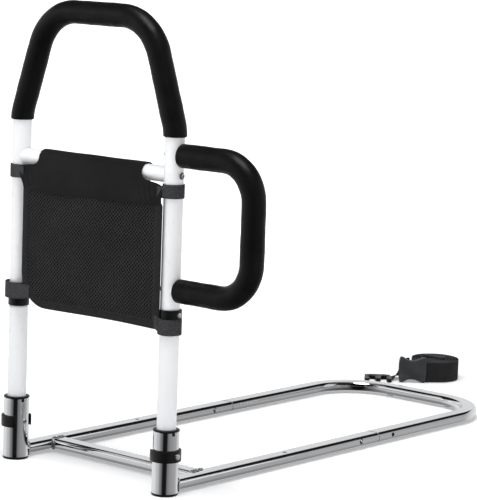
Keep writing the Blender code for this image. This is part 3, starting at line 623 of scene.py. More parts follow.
# cross tube, its ends shaped to the rounded sides of the side tubes
rows = []
for sec in (OVAL, OVAL_IN):
    out = []
    for sx in (-1, 1):
        end = [V((sx * (POST_X - side_face(z) + 0.0004), CROSS_Y + y, RAIL_Z + z)) for y, z in sec]
        near = [V((sx * (POST_X - RAIL_W / 2 - 0.006), CROSS_Y + y, RAIL_Z + z)) for y, z in sec]
        mid = [[V((x, CROSS_Y + y, RAIL_Z + z)) for y, z in sec] for x in np.linspace(-0.12, 0.0, 13)]
        out += [end, near] + mid[:-1] if sx < 0 else [[V((0.0, CROSS_Y + y, RAIL_Z + z)) for y, z in sec]] + \
            [[V((x, CROSS_Y + y, RAIL_Z + z)) for y, z in sec] for x in np.linspace(0.01, 0.12, 12)] + [near, end]
    rows.append(out)
shell("cross_tube", rows[0], rows[1], CHROME, "base", ("base_cross_tube",))


def bead(name, pts, r, seed, joined=True):
    """A weld: a chain of small overlapping scales along a closed line."""
    pts = [V(p) for p in pts]
    s = [0.0]
    loop = pts + [pts[0]]
    for a, b in zip(loop, loop[1:]):
        s.append(s[-1] + (b - a).length)
    total, g = s[-1], np.random.default_rng(seed)
    n = max(24, int(total / 0.00055))
    k, rings, bump = 12, [], g.normal(0, 1, 64)
    cen = sum(pts, V((0, 0, 0))) / len(pts)
    for i in range(n):
        t = total * i / n
        j = min(int(np.searchsorted(s, t, side="right")) - 1, len(loop) - 2)
        f = (t - s[j]) / max(1e-12, s[j + 1] - s[j])
        p = loop[j].lerp(loop[j + 1], f)
        d = (loop[j + 1] - loop[j]).normalized()
        e = (p - cen).normalized()
        e = (e - d * e.dot(d)).normalized()
        q = d.cross(e)
        saw = (t / 0.0021) % 1.0                                   # one scale every 2.1 mm
        big = 1.0 + 0.20 * math.sin(saw * math.pi) + 0.10 * bump[int(t / 0.0021) % 64] + 0.05 * math.sin(t * 900)
        rings.append([p + (e * math.cos(a) + q * math.sin(a)) * (r * big * (1 + 0.05 * math.sin(3 * a + t * 700))) for a in
                      [2 * math.pi * m / k for m in range(k)]])
    verts = [v for gg in rings for v in gg]
    return make(name, verts, skin(rings, closed_path=True), WELD, "base", angle=60)


for side, sx in (("left", -1), ("right", 1)):
    x0 = sx * POST_X
    bead(f"weld_socket_{side}", [(x0 + x, cope_y(x, z) + 0.0010, RAIL_Z + z) for x, z in section_oval(RAIL_W + 0.0004, RAIL_H + 0.0004, 20, 10)],
         0.0025, 3 + sx)
    bead(f"weld_cross_{side}", [(sx * (POST_X - side_face(z) - 0.0006), CROSS_Y + y, RAIL_Z + z * 0.96)
                                for y, z in section_oval(RAIL_W + 0.0002, RAIL_H, 20, 10)], 0.0024, 11 + sx)

# far loop of the base, with the necked ends that slide into the side tubes
core = fillet([(POST_X, RAIL_END + 0.0006, RAIL_Z), (POST_X, LOOP_END_Y, RAIL_Z), (-POST_X, LOOP_END_Y, RAIL_Z), (-POST_X, RAIL_END + 0.0006, RAIL_Z)],
              [BASE_BEND, BASE_BEND], 36)
pl = Path(core, (0, 0, 1))
neck, neck_in = section_oval(SLEEVE_W, SLEEVE_H), section_oval(SLEEVE_W - 0.0024, SLEEVE_H - 0.0024)
hole_s = 0.5300 - (RAIL_END + 0.0006)
ss = stations(pl.length, 0.0042, [0.0001, 0.0003, 0.0005, 0.0008, 0.0014] + [pl.length - d for d in (0.0014, 0.0008, 0.0005, 0.0003, 0.0001)] + around(hole_s, 0.006) + around(pl.length - hole_s, 0.006))


def on_path(sec, s, lip=False):
    p, u, t = pl.at(s)
    q = lipped(sec, min(s, pl.length - s)) if lip else sec
    return [p + u * x + pl.n * y for x, y in q]


def straight(sec, y, sx):
    """A section square to a side tube, with its points in the loop's own order."""
    p, u, t = pl.at(0 if sx > 0 else pl.length)
    return [V((p.x, y, p.z)) + u * x + pl.n * yy for x, yy in sec]


ro = [straight(neck, y, 1) for y in (0.4100, 0.4300, BUTTON_Y - 0.006, BUTTON_Y, BUTTON_Y + 0.006, 0.4780, RAIL_END + 0.0004)]
ro += [on_path(OVAL, s, True) for s in ss]
ro += [straight(neck, y, -1) for y in (RAIL_END + 0.0004, 0.4780, BUTTON_Y + 0.006, BUTTON_Y, BUTTON_Y - 0.006, 0.4300, 0.4100)]
ri = [straight(neck_in, y, 1) for y in (0.4100, 0.4500, RAIL_END)] + [on_path(neck_in, s) for s in ss[::3]] + [straight(neck_in, y, -1) for y in (RAIL_END, 0.4500, 0.4100)]
loop = shell("end_loop", ro, ri, CHROME, "base", ("base_end_loop",))
cutters = []
for sx in (-1, 1):
    face = sx * POST_X + RAIL_W / 2
    cutters.append(rod_cutter(0.0040, (face, BUTTON_Y, RAIL_Z), "X", -0.006, 0.004, 28))
    if sx > 0:
        cutters.append(rod_cutter(0.0034, (face, 0.5300, RAIL_Z), "X", -0.006, 0.004, 28))
cut(loop, cutters)

for side, sx in (("left", -1), ("right", 1)):
    v, f = lathe_mesh(rounded([(0, 0), (0.0066, 0.0), (0.0068, 0.0012), (0.0068, 0.0045), (0.0060, 0.0048), (0, 0.0048)], 0.0005), 48, "Z",
                      (sx * 0.062, LOOP_END_Y + 0.004, 0))
    make(f"clear_pad_{side}", v, f, CLEAR, "base", (f"loop_pad_{side}",))

# ---------------------------------------------------------------- base: sockets, bushes, feet
for side, sx in (("left", -1), ("right", 1)):
    x0 = sx * POST_X
    wall = SOCKET_R - SOCKET_WALL
    outside = [(SOCKET_R, z) for z in np.linspace(SOCKET_LOW + 0.0012, SOCKET_TOP - 0.0010, 18)]
    prof = [(wall, SOCKET_LOW), (SOCKET_R - 0.0007, SOCKET_LOW), (SOCKET_R - 0.0002, SOCKET_LOW + 0.0003)] + outside + \
        [(SOCKET_R - 0.0001, SOCKET_TOP - 0.0004), (SOCKET_R - 0.0004, SOCKET_TOP), (wall + 0.0003, SOCKET_TOP), (wall, SOCKET_TOP - 0.0003),
         (wall, 0.05), (wall, SOCKET_LOW)]
    v, f = lathe_mesh(prof, 96, "Z", (x0, 0, 0))
    o = make(f"socket_{side}", v, f, CHROME, "base", (f"leg_socket_{side}",), angle=50)
    key = math.radians(-14)
    kx, ky = x0 + SOCKET_R * math.cos(key), SOCKET_R * math.sin(key)
    cut(o, [rod_cutter(0.0034, (x0, 0, PIN_Z), "X", -0.03, 0.03, 32),
            prism_cutter((kx - 0.004, ky - 0.0024, SOCKET_TOP - 0.0050), (kx + 0.004, ky + 0.0024, SOCKET_TOP + 0.002))])
    # hollow rivet in the hole on the clip's open side
    v, f = lathe_mesh(rounded([(0.0017, wall - 0.0004), (0.0017, SOCKET_R + 0.0004), (0.0022, SOCKET_R + 0.0010), (0.0029, SOCKET_R + 0.0008), (0.0032, SOCKET_R + 0.0001),
                               (0.0031, wall - 0.0002), (0.0017, wall - 0.0004)], 0.0003), 36, "X" if sx < 0 else "-X", (x0, 0, PIN_Z))
    make(f"socket_rivet_{side}", v, f, ZINC, "base", angle=60)
    v, f = lathe_mesh(rounded([(POST_R + 0.0003, 0.0160), (wall - 0.0003, 0.0160), (wall - 0.0003, SOCKET_TOP + 0.0003), (SOCKET_R + 0.0003, SOCKET_TOP + 0.0003),
                               (SOCKET_R + 0.0004, SOCKET_TOP + 0.0022), (SOCKET_R - 0.0010, SOCKET_TOP + 0.0028), (POST_R + 0.0009, SOCKET_TOP + 0.0030),
                               (POST_R + 0.0003, SOCKET_TOP + 0.0024), (POST_R + 0.0003, 0.0160)], 0.0005), 80, "Z", (x0, 0, 0))
    o = make(f"bush_{side}", v, f, BLACK, "base", (f"socket_bush_{side}",))
    cut(o, [rod_cutter(0.0036, (x0, 0, PIN_Z), "X", -0.03, 0.03, 24)])
    # key of the bush, filling the notch with a rounded lower end
    out = []
    w = 0.0021
    outline = [(w, -0.0001), (w, -0.0026)] + [(w * math.cos(a), -0.0026 - w * 0.95 * math.sin(a)) for a in np.linspace(0.2, math.pi - 0.2, 9)] + [(-w, -0.0026), (-w, -0.0001)]
    for q in (-0.0012, 0.0004, 0.0008):
        sh = 1.0 if q < 0.0006 else 0.86
        out.append([V((x0, 0, SOCKET_TOP)) + V((math.cos(key), math.sin(key), 0)) * (SOCKET_R + q) + V((-math.sin(key), math.cos(key), 0)) * (a * sh) + V((0, 0, b)) for a, b in outline])
    v = [p for g in out for p in g]
    k = len(outline)
    f = skin(out) + [tuple(range(k)), tuple(range(2 * k, 3 * k))]
    make(f"key_{side}", v, f, BLACK, "base", (f"bush_key_{side}",))
    v, f = lathe_mesh(rounded([(0, 0.0), (SOCKET_R - 0.0010, 0.0), (SOCKET_R - 0.0001, 0.0008), (SOCKET_R + 0.0001, SOCKET_LOW - 0.0002), (wall - 0.0003, SOCKET_LOW - 0.0002),
                               (wall - 0.0003, 0.0115), (0, 0.0115)], 0.0005), 80, "Z", (x0, 0, 0))
    make(f"foot_{side}", v, f, RUBBER, "base", (f"socket_foot_{side}",))


# ---------------------------------------------------------------- sprung clips and their pins
def clip(name, x, z, h, r, sx, wall, body, node):
    """A sprung C, thicker round its pin, its ends turned out a little."""
    a0, n = math.radians(48), 56
    mid = 0.0 if sx > 0 else math.pi
    rings = []
    e = 0.0006
    for i in range(n + 1):
        f = i / n
        a = mid - math.pi + a0 + (2 * math.pi - 2 * a0) * f
        d = V((math.cos(a), math.sin(a), 0))
        endf = min(f, 1 - f) * n
        flare = 0.0009 * max(0.0, 1 - endf / 5) ** 2
        th = wall * (1 - 0.25 * max(0.0, 1 - endf / 3) ** 2)
        hh = h / 2 * (1 - 0.04 * max(0.0, 1 - endf / 2) ** 2)
        sec = [(r, -hh + e), (r + e * 0.6, -hh), (r + th - e, -hh), (r + th - e * 0.3, -hh + e * 0.3), (r + th, -hh + e), (r + th + 0.0001, 0.0), (r + th, hh - e),
               (r + th - e * 0.3, hh - e * 0.3), (r + th - e, hh), (r + e * 0.6, hh), (r, hh - e), (r, 0.0)]
        rings.append([V((x, 0, z)) + d * (q + flare) + V((0, 0, w)) for q, w in sec])
    k = len(rings[0])
    verts = [v for g in rings for v in g]
    faces = skin(rings) + [tuple(range(k)), tuple(range(n * k, (n + 1) * k))]
    o = make(name, verts, faces, BLACK, body, (node,))
    return cut(o, [rod_cutter(0.0033, (x, 0, z), "X", *((0, 0.04) if sx > 0 else (-0.04, 0)), 24)])


def pin(name, x, z, sx, start, far, r_head, body, node):
    prof = rounded([(0, start), (0.0026, start), (0.0030, start + 0.0004), (0.0030, far + 0.0002), (r_head, far + 0.0002), (r_head, far + 0.0007)], 0.0003)
    prof += [(r_head * math.cos(a), far + 0.0007 + 0.0014 * math.sin(a)) for a in np.linspace(0.15, math.pi / 2 - 0.1, 8)] + [(0, far + 0.0021)]
    v, f = lathe_mesh(prof, 40, "X" if sx > 0 else "-X", (x, 0, z))
    return make(name, v, f, ZINC, body, (node,))


for side, sx in (("left", -1), ("right", 1)):
    x0 = sx * POST_X
    clip(f"clip_socket_{side}", x0, PIN_Z, CLIP_H, SOCKET_R + 0.0004, sx, 0.0030, "base", f"socket_clip_{side}")
    pin(f"pin_socket_{side}", x0, PIN_Z, sx, POST_R + 0.0006, SOCKET_R + 0.0034, 0.0047, "base", f"socket_pin_{side}")
    clip(f"clip_post_{side}", x0, MID_PIN_Z, MID_CLIP_H, POST_R + 0.0003, sx, 0.0028, "upper_frame", f"post_clip_{side}")
    pin(f"pin_post_{side}", x0, MID_PIN_Z, sx, POST_R - POST_WALL + 0.0002, POST_R + 0.0030, 0.0041, "upper_frame", f"post_pin_{side}")
    v, f = lathe_mesh(rounded([(SPIGOT_R + 0.0003, UPPER_BOTTOM - 0.0019), (POST_R + 0.0014, UPPER_BOTTOM - 0.0019), (POST_R + 0.0016, UPPER_BOTTOM - 0.0012),
                               (POST_R + 0.0016, UPPER_BOTTOM + 0.0092), (POST_R + 0.0003, UPPER_BOTTOM + 0.0092), (POST_R + 0.0003, UPPER_BOTTOM - 0.0003),
                               (SPIGOT_R + 0.0003, UPPER_BOTTOM - 0.0003), (SPIGOT_R + 0.0003, UPPER_BOTTOM - 0.0019)], 0.0004), 72, "Z", (x0, 0, 0))
    make(f"collar_{side}", v, f, BLACK, "upper_frame", (f"post_collar_{side}",))

# ---------------------------------------------------------------- lower legs
for side, sx in (("left", -1), ("right", 1)):
    x0, w = sx * POST_X, POST_WALL
    prof = [(POST_R - w, LEG_BOTTOM), (POST_R - 0.0004, LEG_BOTTOM), (POST_R, LEG_BOTTOM + 0.0004)] + [(POST_R, z) for z in np.linspace(0.03, SHOULDER_Z - 0.004, 20)] + \
        [(POST_R, SHOULDER_Z - 0.0022), (POST_R - 0.0003, SHOULDER_Z - 0.0014), (SPIGOT_R + 0.0002, SHOULDER_Z - 0.0002), (SPIGOT_R, SHOULDER_Z + 0.0003)] + \
        [(SPIGOT_R, z) for z in np.linspace(SHOULDER_Z + 0.004, SPIGOT_TOP - 0.0012, 8)] + [(SPIGOT_R - 0.0004, SPIGOT_TOP), (SPIGOT_R - w, SPIGOT_TOP)] + \
        [(SPIGOT_R - w, SHOULDER_Z - 0.001), (POST_R - w, SHOULDER_Z - 0.0035), (POST_R - w, LEG_BOTTOM)]
    v, f = lathe_mesh(prof, 80, "Z", (x0, 0, 0))
    o = make(f"leg_{side}", v, f, WHITE, "legs", (f"lower_leg_{side}",), angle=50)
    cut(o, [rod_cutter(0.0034, (x0, 0, PIN_Z), "X", -0.03, 0.03, 24), rod_cutter(0.0034, (x0, 0, MID_PIN_Z), "X", -0.03, 0.03, 24)])

# ---------------------------------------------------------------- upper frame
TOP = fillet([(-POST_X, 0, UPPER_BOTTOM), (-POST_X, 0, LOOP_LEAN_Z), (-LOOP_CORNER_X, 0, LOOP_TOP_Z), (LOOP_CORNER_X, 0, LOOP_TOP_Z),
              (POST_X, 0, LOOP_LEAN_Z), (POST_X, 0, UPPER_BOTTOM)], [LEAN_BEND, LOOP_CORNER_R, LOOP_CORNER_R, LEAN_BEND], 24)
tube("frame_tube", TOP, (0, 1, 0), POST_R, POST_WALL, WHITE, "upper_frame", ("upper_frame_tube",), 64, 0.005)

rows = []
for r in (BAR_R, BAR_R - 0.0012):
    sec = [(r * c, r * s) for c, s in section_circle(56)]
    reach = [POST_X - math.sqrt(POST_R ** 2 - y * y) - 0.0002 for y, z in sec]
    g = [[V((-e, y, BAR_Z + z)) for e, (y, z) in zip(reach, sec)]]
    g += [[V((x, y, BAR_Z + z)) for y, z in sec] for x in np.linspace(-0.136, 0.136, 30)]
    g += [[V((e, y, BAR_Z + z)) for e, (y, z) in zip(reach, sec)]]
    rows.append(g)
shell("bar_tube", rows[0], rows[1], WHITE, "upper_frame", ("cross_bar",), angle=50)

DEE = fillet([(POST_X + 0.004, 0, HANDLE_TOP_Z), (HANDLE_X, 0, HANDLE_TOP_Z), (HANDLE_X, 0, HANDLE_LOW_Z), (POST_X + 0.004, 0, HANDLE_LOW_Z)], [HANDLE_BEND, HANDLE_BEND], 30)
pd = Path(DEE, (0, 1, 0))
rows = []
for r in (HANDLE_R, HANDLE_R - 0.0012):
    sec = [(r * c, r * s) for c, s in section_circle(48)]
    g = []
    for end in (0, 1):
        z = HANDLE_LOW_Z if end else HANDLE_TOP_Z
        p, u, t = pd.at(pd.length if end else 0)
        pts = [p + u * a + pd.n * b for a, b in sec]
        ring = [V((POST_X + math.sqrt(POST_R ** 2 - q.y ** 2) + 0.0002, q.y, q.z)) for q in pts]
        if end:
            g.append(ring)
        else:
            g.insert(0, ring)
    mid = sweep(pd, [(a, b) for a, b in sec], [s for s in stations(pd.length, 0.005) if 0.016 < s < pd.length - 0.016])
    rows.append([g[0]] + mid + [g[1]])
shell("handle_tube", rows[0], rows[1], WHITE, "upper_frame", ("side_handle_tube",), angle=50)


def grip(name, pts, r, r_in, start, end, replaces, seed):
    """A foam sleeve pulled over a tube: slightly uneven, with rounded ends."""
    p = Path(pts, (0, 1, 0))
    sec = section_circle(56)
    lip = 0.0022
    ss = stations(p.length - start - end, 0.0035, [0.0, 0.00008, 0.0003, 0.0007, 0.0013, lip])
    ss = sorted(set([start + s for s in ss] + [p.length - end - s for s in (0.00008, 0.0003, 0.0007, 0.0013, lip)]))
    g = np.random.default_rng(seed)
    ph = g.uniform(0, 6.28, 8)
    ro = []
    for s in ss:
        c, u, t = p.at(s)
        d = min(s - start, p.length - end - s)
        k = lip - math.sqrt(max(0.0, lip * lip - (lip - min(max(d, 0), lip)) ** 2))
        ring = []
        for x, y in sec:
            a = math.atan2(y, x)
            uneven = 0.00012 * math.sin(s * 61 + ph[0]) + 0.00010 * math.sin(s * 137 + 2 * a + ph[1]) + 0.00008 * math.sin(s * 233 - a + ph[2]) + 0.00005 * math.sin(s * 500 + 3 * a + ph[3])
            q = r - k + uneven - 0.0001
            ring.append(c + (u * x + p.n * y) * q)
        ro.append(ring)
    ri = [[c + (u * x + p.n * y) * r_in for x, y in sec] for c, u, t in [p.at(s) for s in [start] + list(np.linspace(start + 0.01, p.length - end - 0.01, 60)) + [p.length - end]]]
    o = shell(name, ro, ri, FOAM, "upper_frame", replaces, angle=75)
    return o


pt = Path(TOP, (0, 1, 0))
grip("grip_top", TOP, GRIP_R, POST_R + 0.0001, GRIP_START_Z - UPPER_BOTTOM, GRIP_START_Z - UPPER_BOTTOM, ("top_grip",), 5)
grip("grip_side", DEE, GRIP_R, HANDLE_R + 0.0001, POST_R + 0.0012 - 0.004, POST_R + 0.0012 - 0.004, ("side_handle_grip",), 9)


def bolt(name, x, z, axis, reach, node, turn=0.3):
    """A pan-head bolt with a cross recess."""
    R, far = 0.0052, POST_R + 0.0002
    prof = [(0, -reach), (0.0024, -reach), (0.0030, -reach + 0.0008), (0.0030, far), (R - 0.0002, far), (R, far + 0.0003), (R, far + 0.0008)]
    prof += [(R * math.cos(a) ** 0.75, far + 0.0008 + 0.0026 * math.sin(a)) for a in np.linspace(0.1, math.pi / 2 - 0.12, 12)] + [(0, far + 0.0034)]
    v, f = lathe_mesh(prof, 48, axis, (x, 0, z))
    o = make(name, v, f, ZINC, "upper_frame", (node,))
    s = {"X": 1, "-X": -1}[axis]
    cs = []
    for k in (0, 1):
        a = turn + k * math.pi / 2
        e, q = V((0, math.cos(a), math.sin(a))), V((0, -math.sin(a), math.cos(a)))
        pts = []
        for h, L, w in ((far + 0.0010, 0.0011, 0.0004), (far + 0.0050, 0.0034, 0.0007)):
            c = V((x + s * h, 0, z))
            pts += [c + e * L + q * w, c - e * L + q * w, c - e * L - q * w, c + e * L - q * w]
        cs.append(plain("cutter", pts, [(0, 1, 2, 3), (4, 5, 6, 7), (0, 1, 5, 4), (1, 2, 6, 5), (2, 3, 7, 6), (3, 0, 4, 7)]))
    return cut(o, cs)


for side, sx in (("left", -1), ("right", 1)):
    bolt(f"bolt_bar_{side}", sx * POST_X, BAR_Z, "X" if sx > 0 else "-X", 0.0340, f"cross_bar_bolt_{side}", 0.5)
for where, z in (("upper", HANDLE_TOP_Z), ("lower", HANDLE_LOW_Z)):
    bolt(f"bolt_handle_{where}", POST_X, z, "-X", 0.0360, f"side_handle_bolt_{where}", 0.2)


def nut_plug(name, x, z, axis, r, start, end, node):
    v, f = lathe_mesh(rounded([(0.0034, start), (r, start), (r, end), (0.0034, end), (0.0034, start)], 0.0004), 40, axis, (x, 0, z))
    make(name, v, f, BLACK, "upper_frame", (node,))


for side, sx in (("left", -1), ("right", 1)):
    nut_plug(f"plug_bar_{side}", sx * POST_X, BAR_Z, "X" if sx < 0 else "-X", BAR_R - 0.0015, 0.0150, 0.0320, f"cross_bar_plug_{side}")
for where, z in (("upper", HANDLE_TOP_Z), ("lower", HANDLE_LOW_Z)):
    nut_plug(f"plug_handle_{where}", POST_X, z, "X", HANDLE_R - 0.0020, 0.0150, 0.0340, f"side_handle_plug_{where}")

# ---------------------------------------------------------------- snap buttons
for side, sx in (("left", -1), ("right", 1)):
    face = sx * POST_X + RAIL_W / 2
    prof = rounded([(0, -0.0075), (0.0040, -0.0075), (0.0041, -0.0073), (0.0041, -0.0067), (0.0036, -0.0065), (0.0036, 0.0009)], 0.0002)
    prof += [(0.0036 * math.cos(a), 0.0009 + 0.0017 * math.sin(a)) for a in np.linspace(0.1, math.pi / 2 - 0.08, 10)] + [(0, 0.0026)]
    v, f = lathe_mesh(prof, 40, "X", (face, BUTTON_Y, RAIL_Z))
    make(f"snap_{side}", v, f, ZINC, f"button_{side}", (f"snap_button_{side}",))

# ---------------------------------------------------------------- storage pouch
def crown(x, z):
    u = (x - POUCH_X0) / (POUCH_X1 - POUCH_X0)
    v = (z - POUCH_LOW) / (FLAP_Z - POUCH_LOW)
    c = 0.0035 * math.sin(math.pi * min(1, max(0, u))) * math.sin(math.pi * min(1, max(0, v)))
    inner = min(1.0, max(0.0, min(u, 1 - u) * 9)) * min(1.0, max(0.0, v * 7))
    return c + inner * (0.0007 * math.sin(x * 41 + 1.1) * math.sin(z * 33 + 0.6) + 0.0004 * math.sin(x * 88 + z * 47))


def seam_z(x):
    t = min(1.0, max(0.0, (x + 0.01) / 0.16))
    return 0.4208 + 0.0046 * t * t * (3 - 2 * t)


CR_L, CR_R = 0.050, 0.008


def x_left(z):
    d = POUCH_LOW + 0.0012 + CR_L - z
    return POUCH_X0 + (CR_L - math.sqrt(max(0.0, CR_L ** 2 - d * d)) if d > 0 else 0.0)


def x_right(z):
    d = POUCH_LOW + 0.0012 + CR_R - z
    return POUCH_X1 - (CR_R - math.sqrt(max(0.0, CR_R ** 2 - d * d)) if d > 0 else 0.0)


def sheet_mesh(name, grid, thick, mat, body, replaces, uv=None):
    """A grid of (point, outward unit normal) given real thickness, its rim closed by flat faces."""
    nz, nx = len(grid), len(grid[0])
    front = [[p + n * (thick / 2) for p, n in row] for row in grid]
    back = [[p - n * (thick / 2) for p, n in row] for row in grid]
    verts = [v for r in front for v in r] + [v for r in back for v in r]
    k, faces = nz * nx, []
    for i in range(nz - 1):
        for j in range(nx - 1):
            a = i * nx + j
            faces.append((a, a + 1, a + nx + 1, a + nx))
            faces.append((k + a, k + a + nx, k + a + nx + 1, k + a + 1))
    rim = [i for i in range(nx)] + [i * nx + nx - 1 for i in range(1, nz)] + [(nz - 1) * nx + i for i in range(nx - 2, -1, -1)] + [i * nx for i in range(nz - 2, 0, -1)]
    for i in range(len(rim)):
        a, b = rim[i], rim[(i + 1) % len(rim)]
        faces.append((a, b, k + b, k + a))
    uvs = None
    if uv:
        uvs = [uv[i][j] for i in range(nz) for j in range(nx)] * 2
    return make(name, verts, faces, mat, body, replaces, uvs=uvs, angle=70)


def bottom_z(x):
    return POUCH_LOW + 0.0012 + 0.0010 * math.sin((x + 0.02) * 21)


zs = [POUCH_LOW + 0.0012 + 0.012 * (1 - math.cos(a)) for a in np.linspace(0.0, math.pi / 2, 12)] + list(np.linspace(0.262, 0.4262, 54))
grid = []
for z in zs:
    xl, xr = x_left(z), x_right(z)
    row = []
    for f in np.linspace(0, 1, 84):
        x = xl + (xr - xl) * f
        zz = z + (bottom_z(x) - POUCH_LOW - 0.0012) * max(0.0, 1 - (z - POUCH_LOW) / 0.03) - 0.0030 * max(0.0, (z - 0.412) / 0.0142) * (1 if x < 0.05 else 0.4)
        row.append((V((x, POUCH_Y - 0.0008 - crown(x, zz), zz)), V((0, -1, 0))))
    grid.append(row)
front = sheet_mesh("pouch_mesh", grid, 0.0012, MESH, "upper_frame", ("pouch_front_panel",))

grid = []
for z in np.linspace(0.2560, 0.4245, 34):
    grid.append([(V((x, -0.0014 - 0.0004 * math.sin(x * 60) * math.sin(z * 50), z)), V((0, -1, 0))) for x in np.linspace(-0.1318, 0.1318, 48)])
back = sheet_mesh("pouch_back", grid, 0.0012, MESH, "upper_frame", ("pouch_back_panel",))

# side and bottom gusset, a strip that dips a little between its two seams
path = fillet([(-0.1308, 0, 0.4210), (-0.1308, 0, 0.2572), (0.1308, 0, 0.2572), (0.1308, 0, 0.4210)], [0.020, 0.008], 14)
pg = Path(path, (0, 1, 0))
grid = []
for s in stations(pg.length, 0.004):
    p, u, t = pg.at(s)
    row = []
    for f in np.linspace(0, 1, 9):
        y = -0.0168 + 0.0146 * f
        q = p + u * (-0.0010 * math.sin(math.pi * f) + 0.0003 * math.sin(s * 190) * math.sin(math.pi * f))
        row.append((V((q.x, y, q.z)), u))
    grid.append(row)
gus = sheet_mesh("pouch_side", grid, 0.0010, CLOTH, "upper_frame", ("pouch_gusset",))


# smooth sleeve over the cross bar and the flap below it
def smooth_line(pts, rounds=3):
    """Corner cutting on rows of numbers."""
    pts = [tuple(p) for p in pts]
    for _ in range(rounds):
        out = [pts[0]]
        for a, b in zip(pts, pts[1:]):
            out.append(tuple(p * 0.75 + q * 0.25 for p, q in zip(a, b)))
            out.append(tuple(p * 0.25 + q * 0.75 for p, q in zip(a, b)))
        pts = out + [pts[-1]]
    return pts


sr = BAR_R + 0.0021
rows = [(-0.0203, 0.4185, -0.1284, 0.1504), (-0.0211, 0.4225, -0.1288, 0.1506), (-0.0216, 0.4275, -0.1296, 0.1508), (-0.0216, 0.4330, -0.1320, 0.1508),
        (-0.0210, 0.4385, -0.1360, 0.1508), (-0.0200, 0.4440, -0.1385, 0.1505), (-0.0189, 0.4490, -0.1385, 0.1490), (-0.0178, 0.4530, -0.1330, 0.1440),
        (-0.0168, 0.4560, -0.1130, 0.1190), (-0.0158, 0.4590, -0.1070, 0.1090), (-0.0149, 0.4622, -0.1045, 0.1055)]
for k in range(13):
    a = math.radians(181 - 251 * k / 12)
    rows.append((sr * math.cos(a), BAR_Z + sr * math.sin(a), -SLEEVE_X, SLEEVE_X + 0.0005))
rows = smooth_line(rows, 1)
grid, uvr = [], []
for i, (y, z, xa, xb) in enumerate(rows):
    a, b = rows[max(0, i - 1)], rows[min(len(rows) - 1, i + 1)]
    t = V((0, b[0] - a[0], b[1] - a[1])).normalized()
    nrm = V((0, -t.z, t.y))
    row = []
    flap = max(0.0, min(1.0, (0.462 - z) / 0.02)) if y < 0 else 0.0
    for f in np.linspace(0, 1, 110):
        x = xa + (xb - xa) * f
        w = 0.0007 * math.sin(math.pi * f) * flap
        zz = z + (seam_z(x) - 0.4208) * max(0.0, min(1.0, (0.440 - z) / 0.02)) if y < -0.014 else z
        # gathers where the flap narrows to the sleeve, stronger at the right-hand end
        for c, k, amp, wid in ((0.126, 640, 0.00075, 0.017), (-0.122, 620, 0.00040, 0.014)):
            e = math.exp(-((x - c) / wid) ** 2) * math.exp(-((z - 0.436) / 0.014) ** 2)
            w += amp * e * math.sin((x - c) * k + (z - 0.43) * 210 + 0.7 * math.sin((x + z) * 400))
        w += 0.00035 * flap * math.sin(x * 39 + 0.5) * math.sin(z * 160) + 0.00018 * math.sin(x * 70 + z * 30)
        row.append((V((x, y, zz)) + nrm * w, nrm))
    grid.append(row)
flap = sheet_mesh("pouch_flap", grid, 0.0012, CLOTH, "upper_frame", ("pouch_sleeve",))

# binding tape round the free edges of the front
outline = fillet([(POUCH_X0, 0, 0.4225), (POUCH_X0, 0, POUCH_LOW + 0.0006), (POUCH_X1, 0, POUCH_LOW + 0.0006), (POUCH_X1, 0, 0.4225)], [CR_L, CR_R], 26)
pb = Path(outline, (0, 1, 0))
TW = 0.0120
rings, uvs = [], []
for s in stations(pb.length, 0.003):
    p, u, t = pb.at(s)
    inward = u if u.dot(V((0.011, 0, 0.333)) - p) > 0 else -u
    dz = bottom_z(p.x) - POUCH_LOW - 0.0012 if p.z < 0.26 else 0.0
    p = p + V((0, 0, dz))
    q = lambda w: p + inward * w
    yf = lambda w: POUCH_Y - 0.0014 - crown(q(w).x, q(w).z) - 0.0007
    yb = lambda w: POUCH_Y - 0.0002 - crown(q(w).x, q(w).z) + 0.0007
    pts = [(TW, yf(TW) + 0.0006), (TW - 0.0004, yf(TW)), (TW * 0.66, yf(TW * 0.66) - 0.0002), (TW * 0.33, yf(TW * 0.33) - 0.0003), (0.0005, yf(0) - 0.0001), (-0.0006, yf(0) + 0.0005),
           (-0.0008, (yf(0) + yb(0)) / 2), (-0.0006, yb(0) - 0.0005), (0.0005, yb(0)), (TW * 0.5, yb(TW * 0.5)), (TW - 0.0004, yb(TW)), (TW, yb(TW) - 0.0005)]
    rings.append([V((q(w).x, y, q(w).z)) for w, y in pts])
k = len(rings[0])
v = [a for g in rings for a in g]
f = skin(rings) + [tuple(range(k)), tuple(range(len(v) - k, len(v)))]
binding = make("pouch_binding", v, f, TAPE, "upper_frame", angle=60)


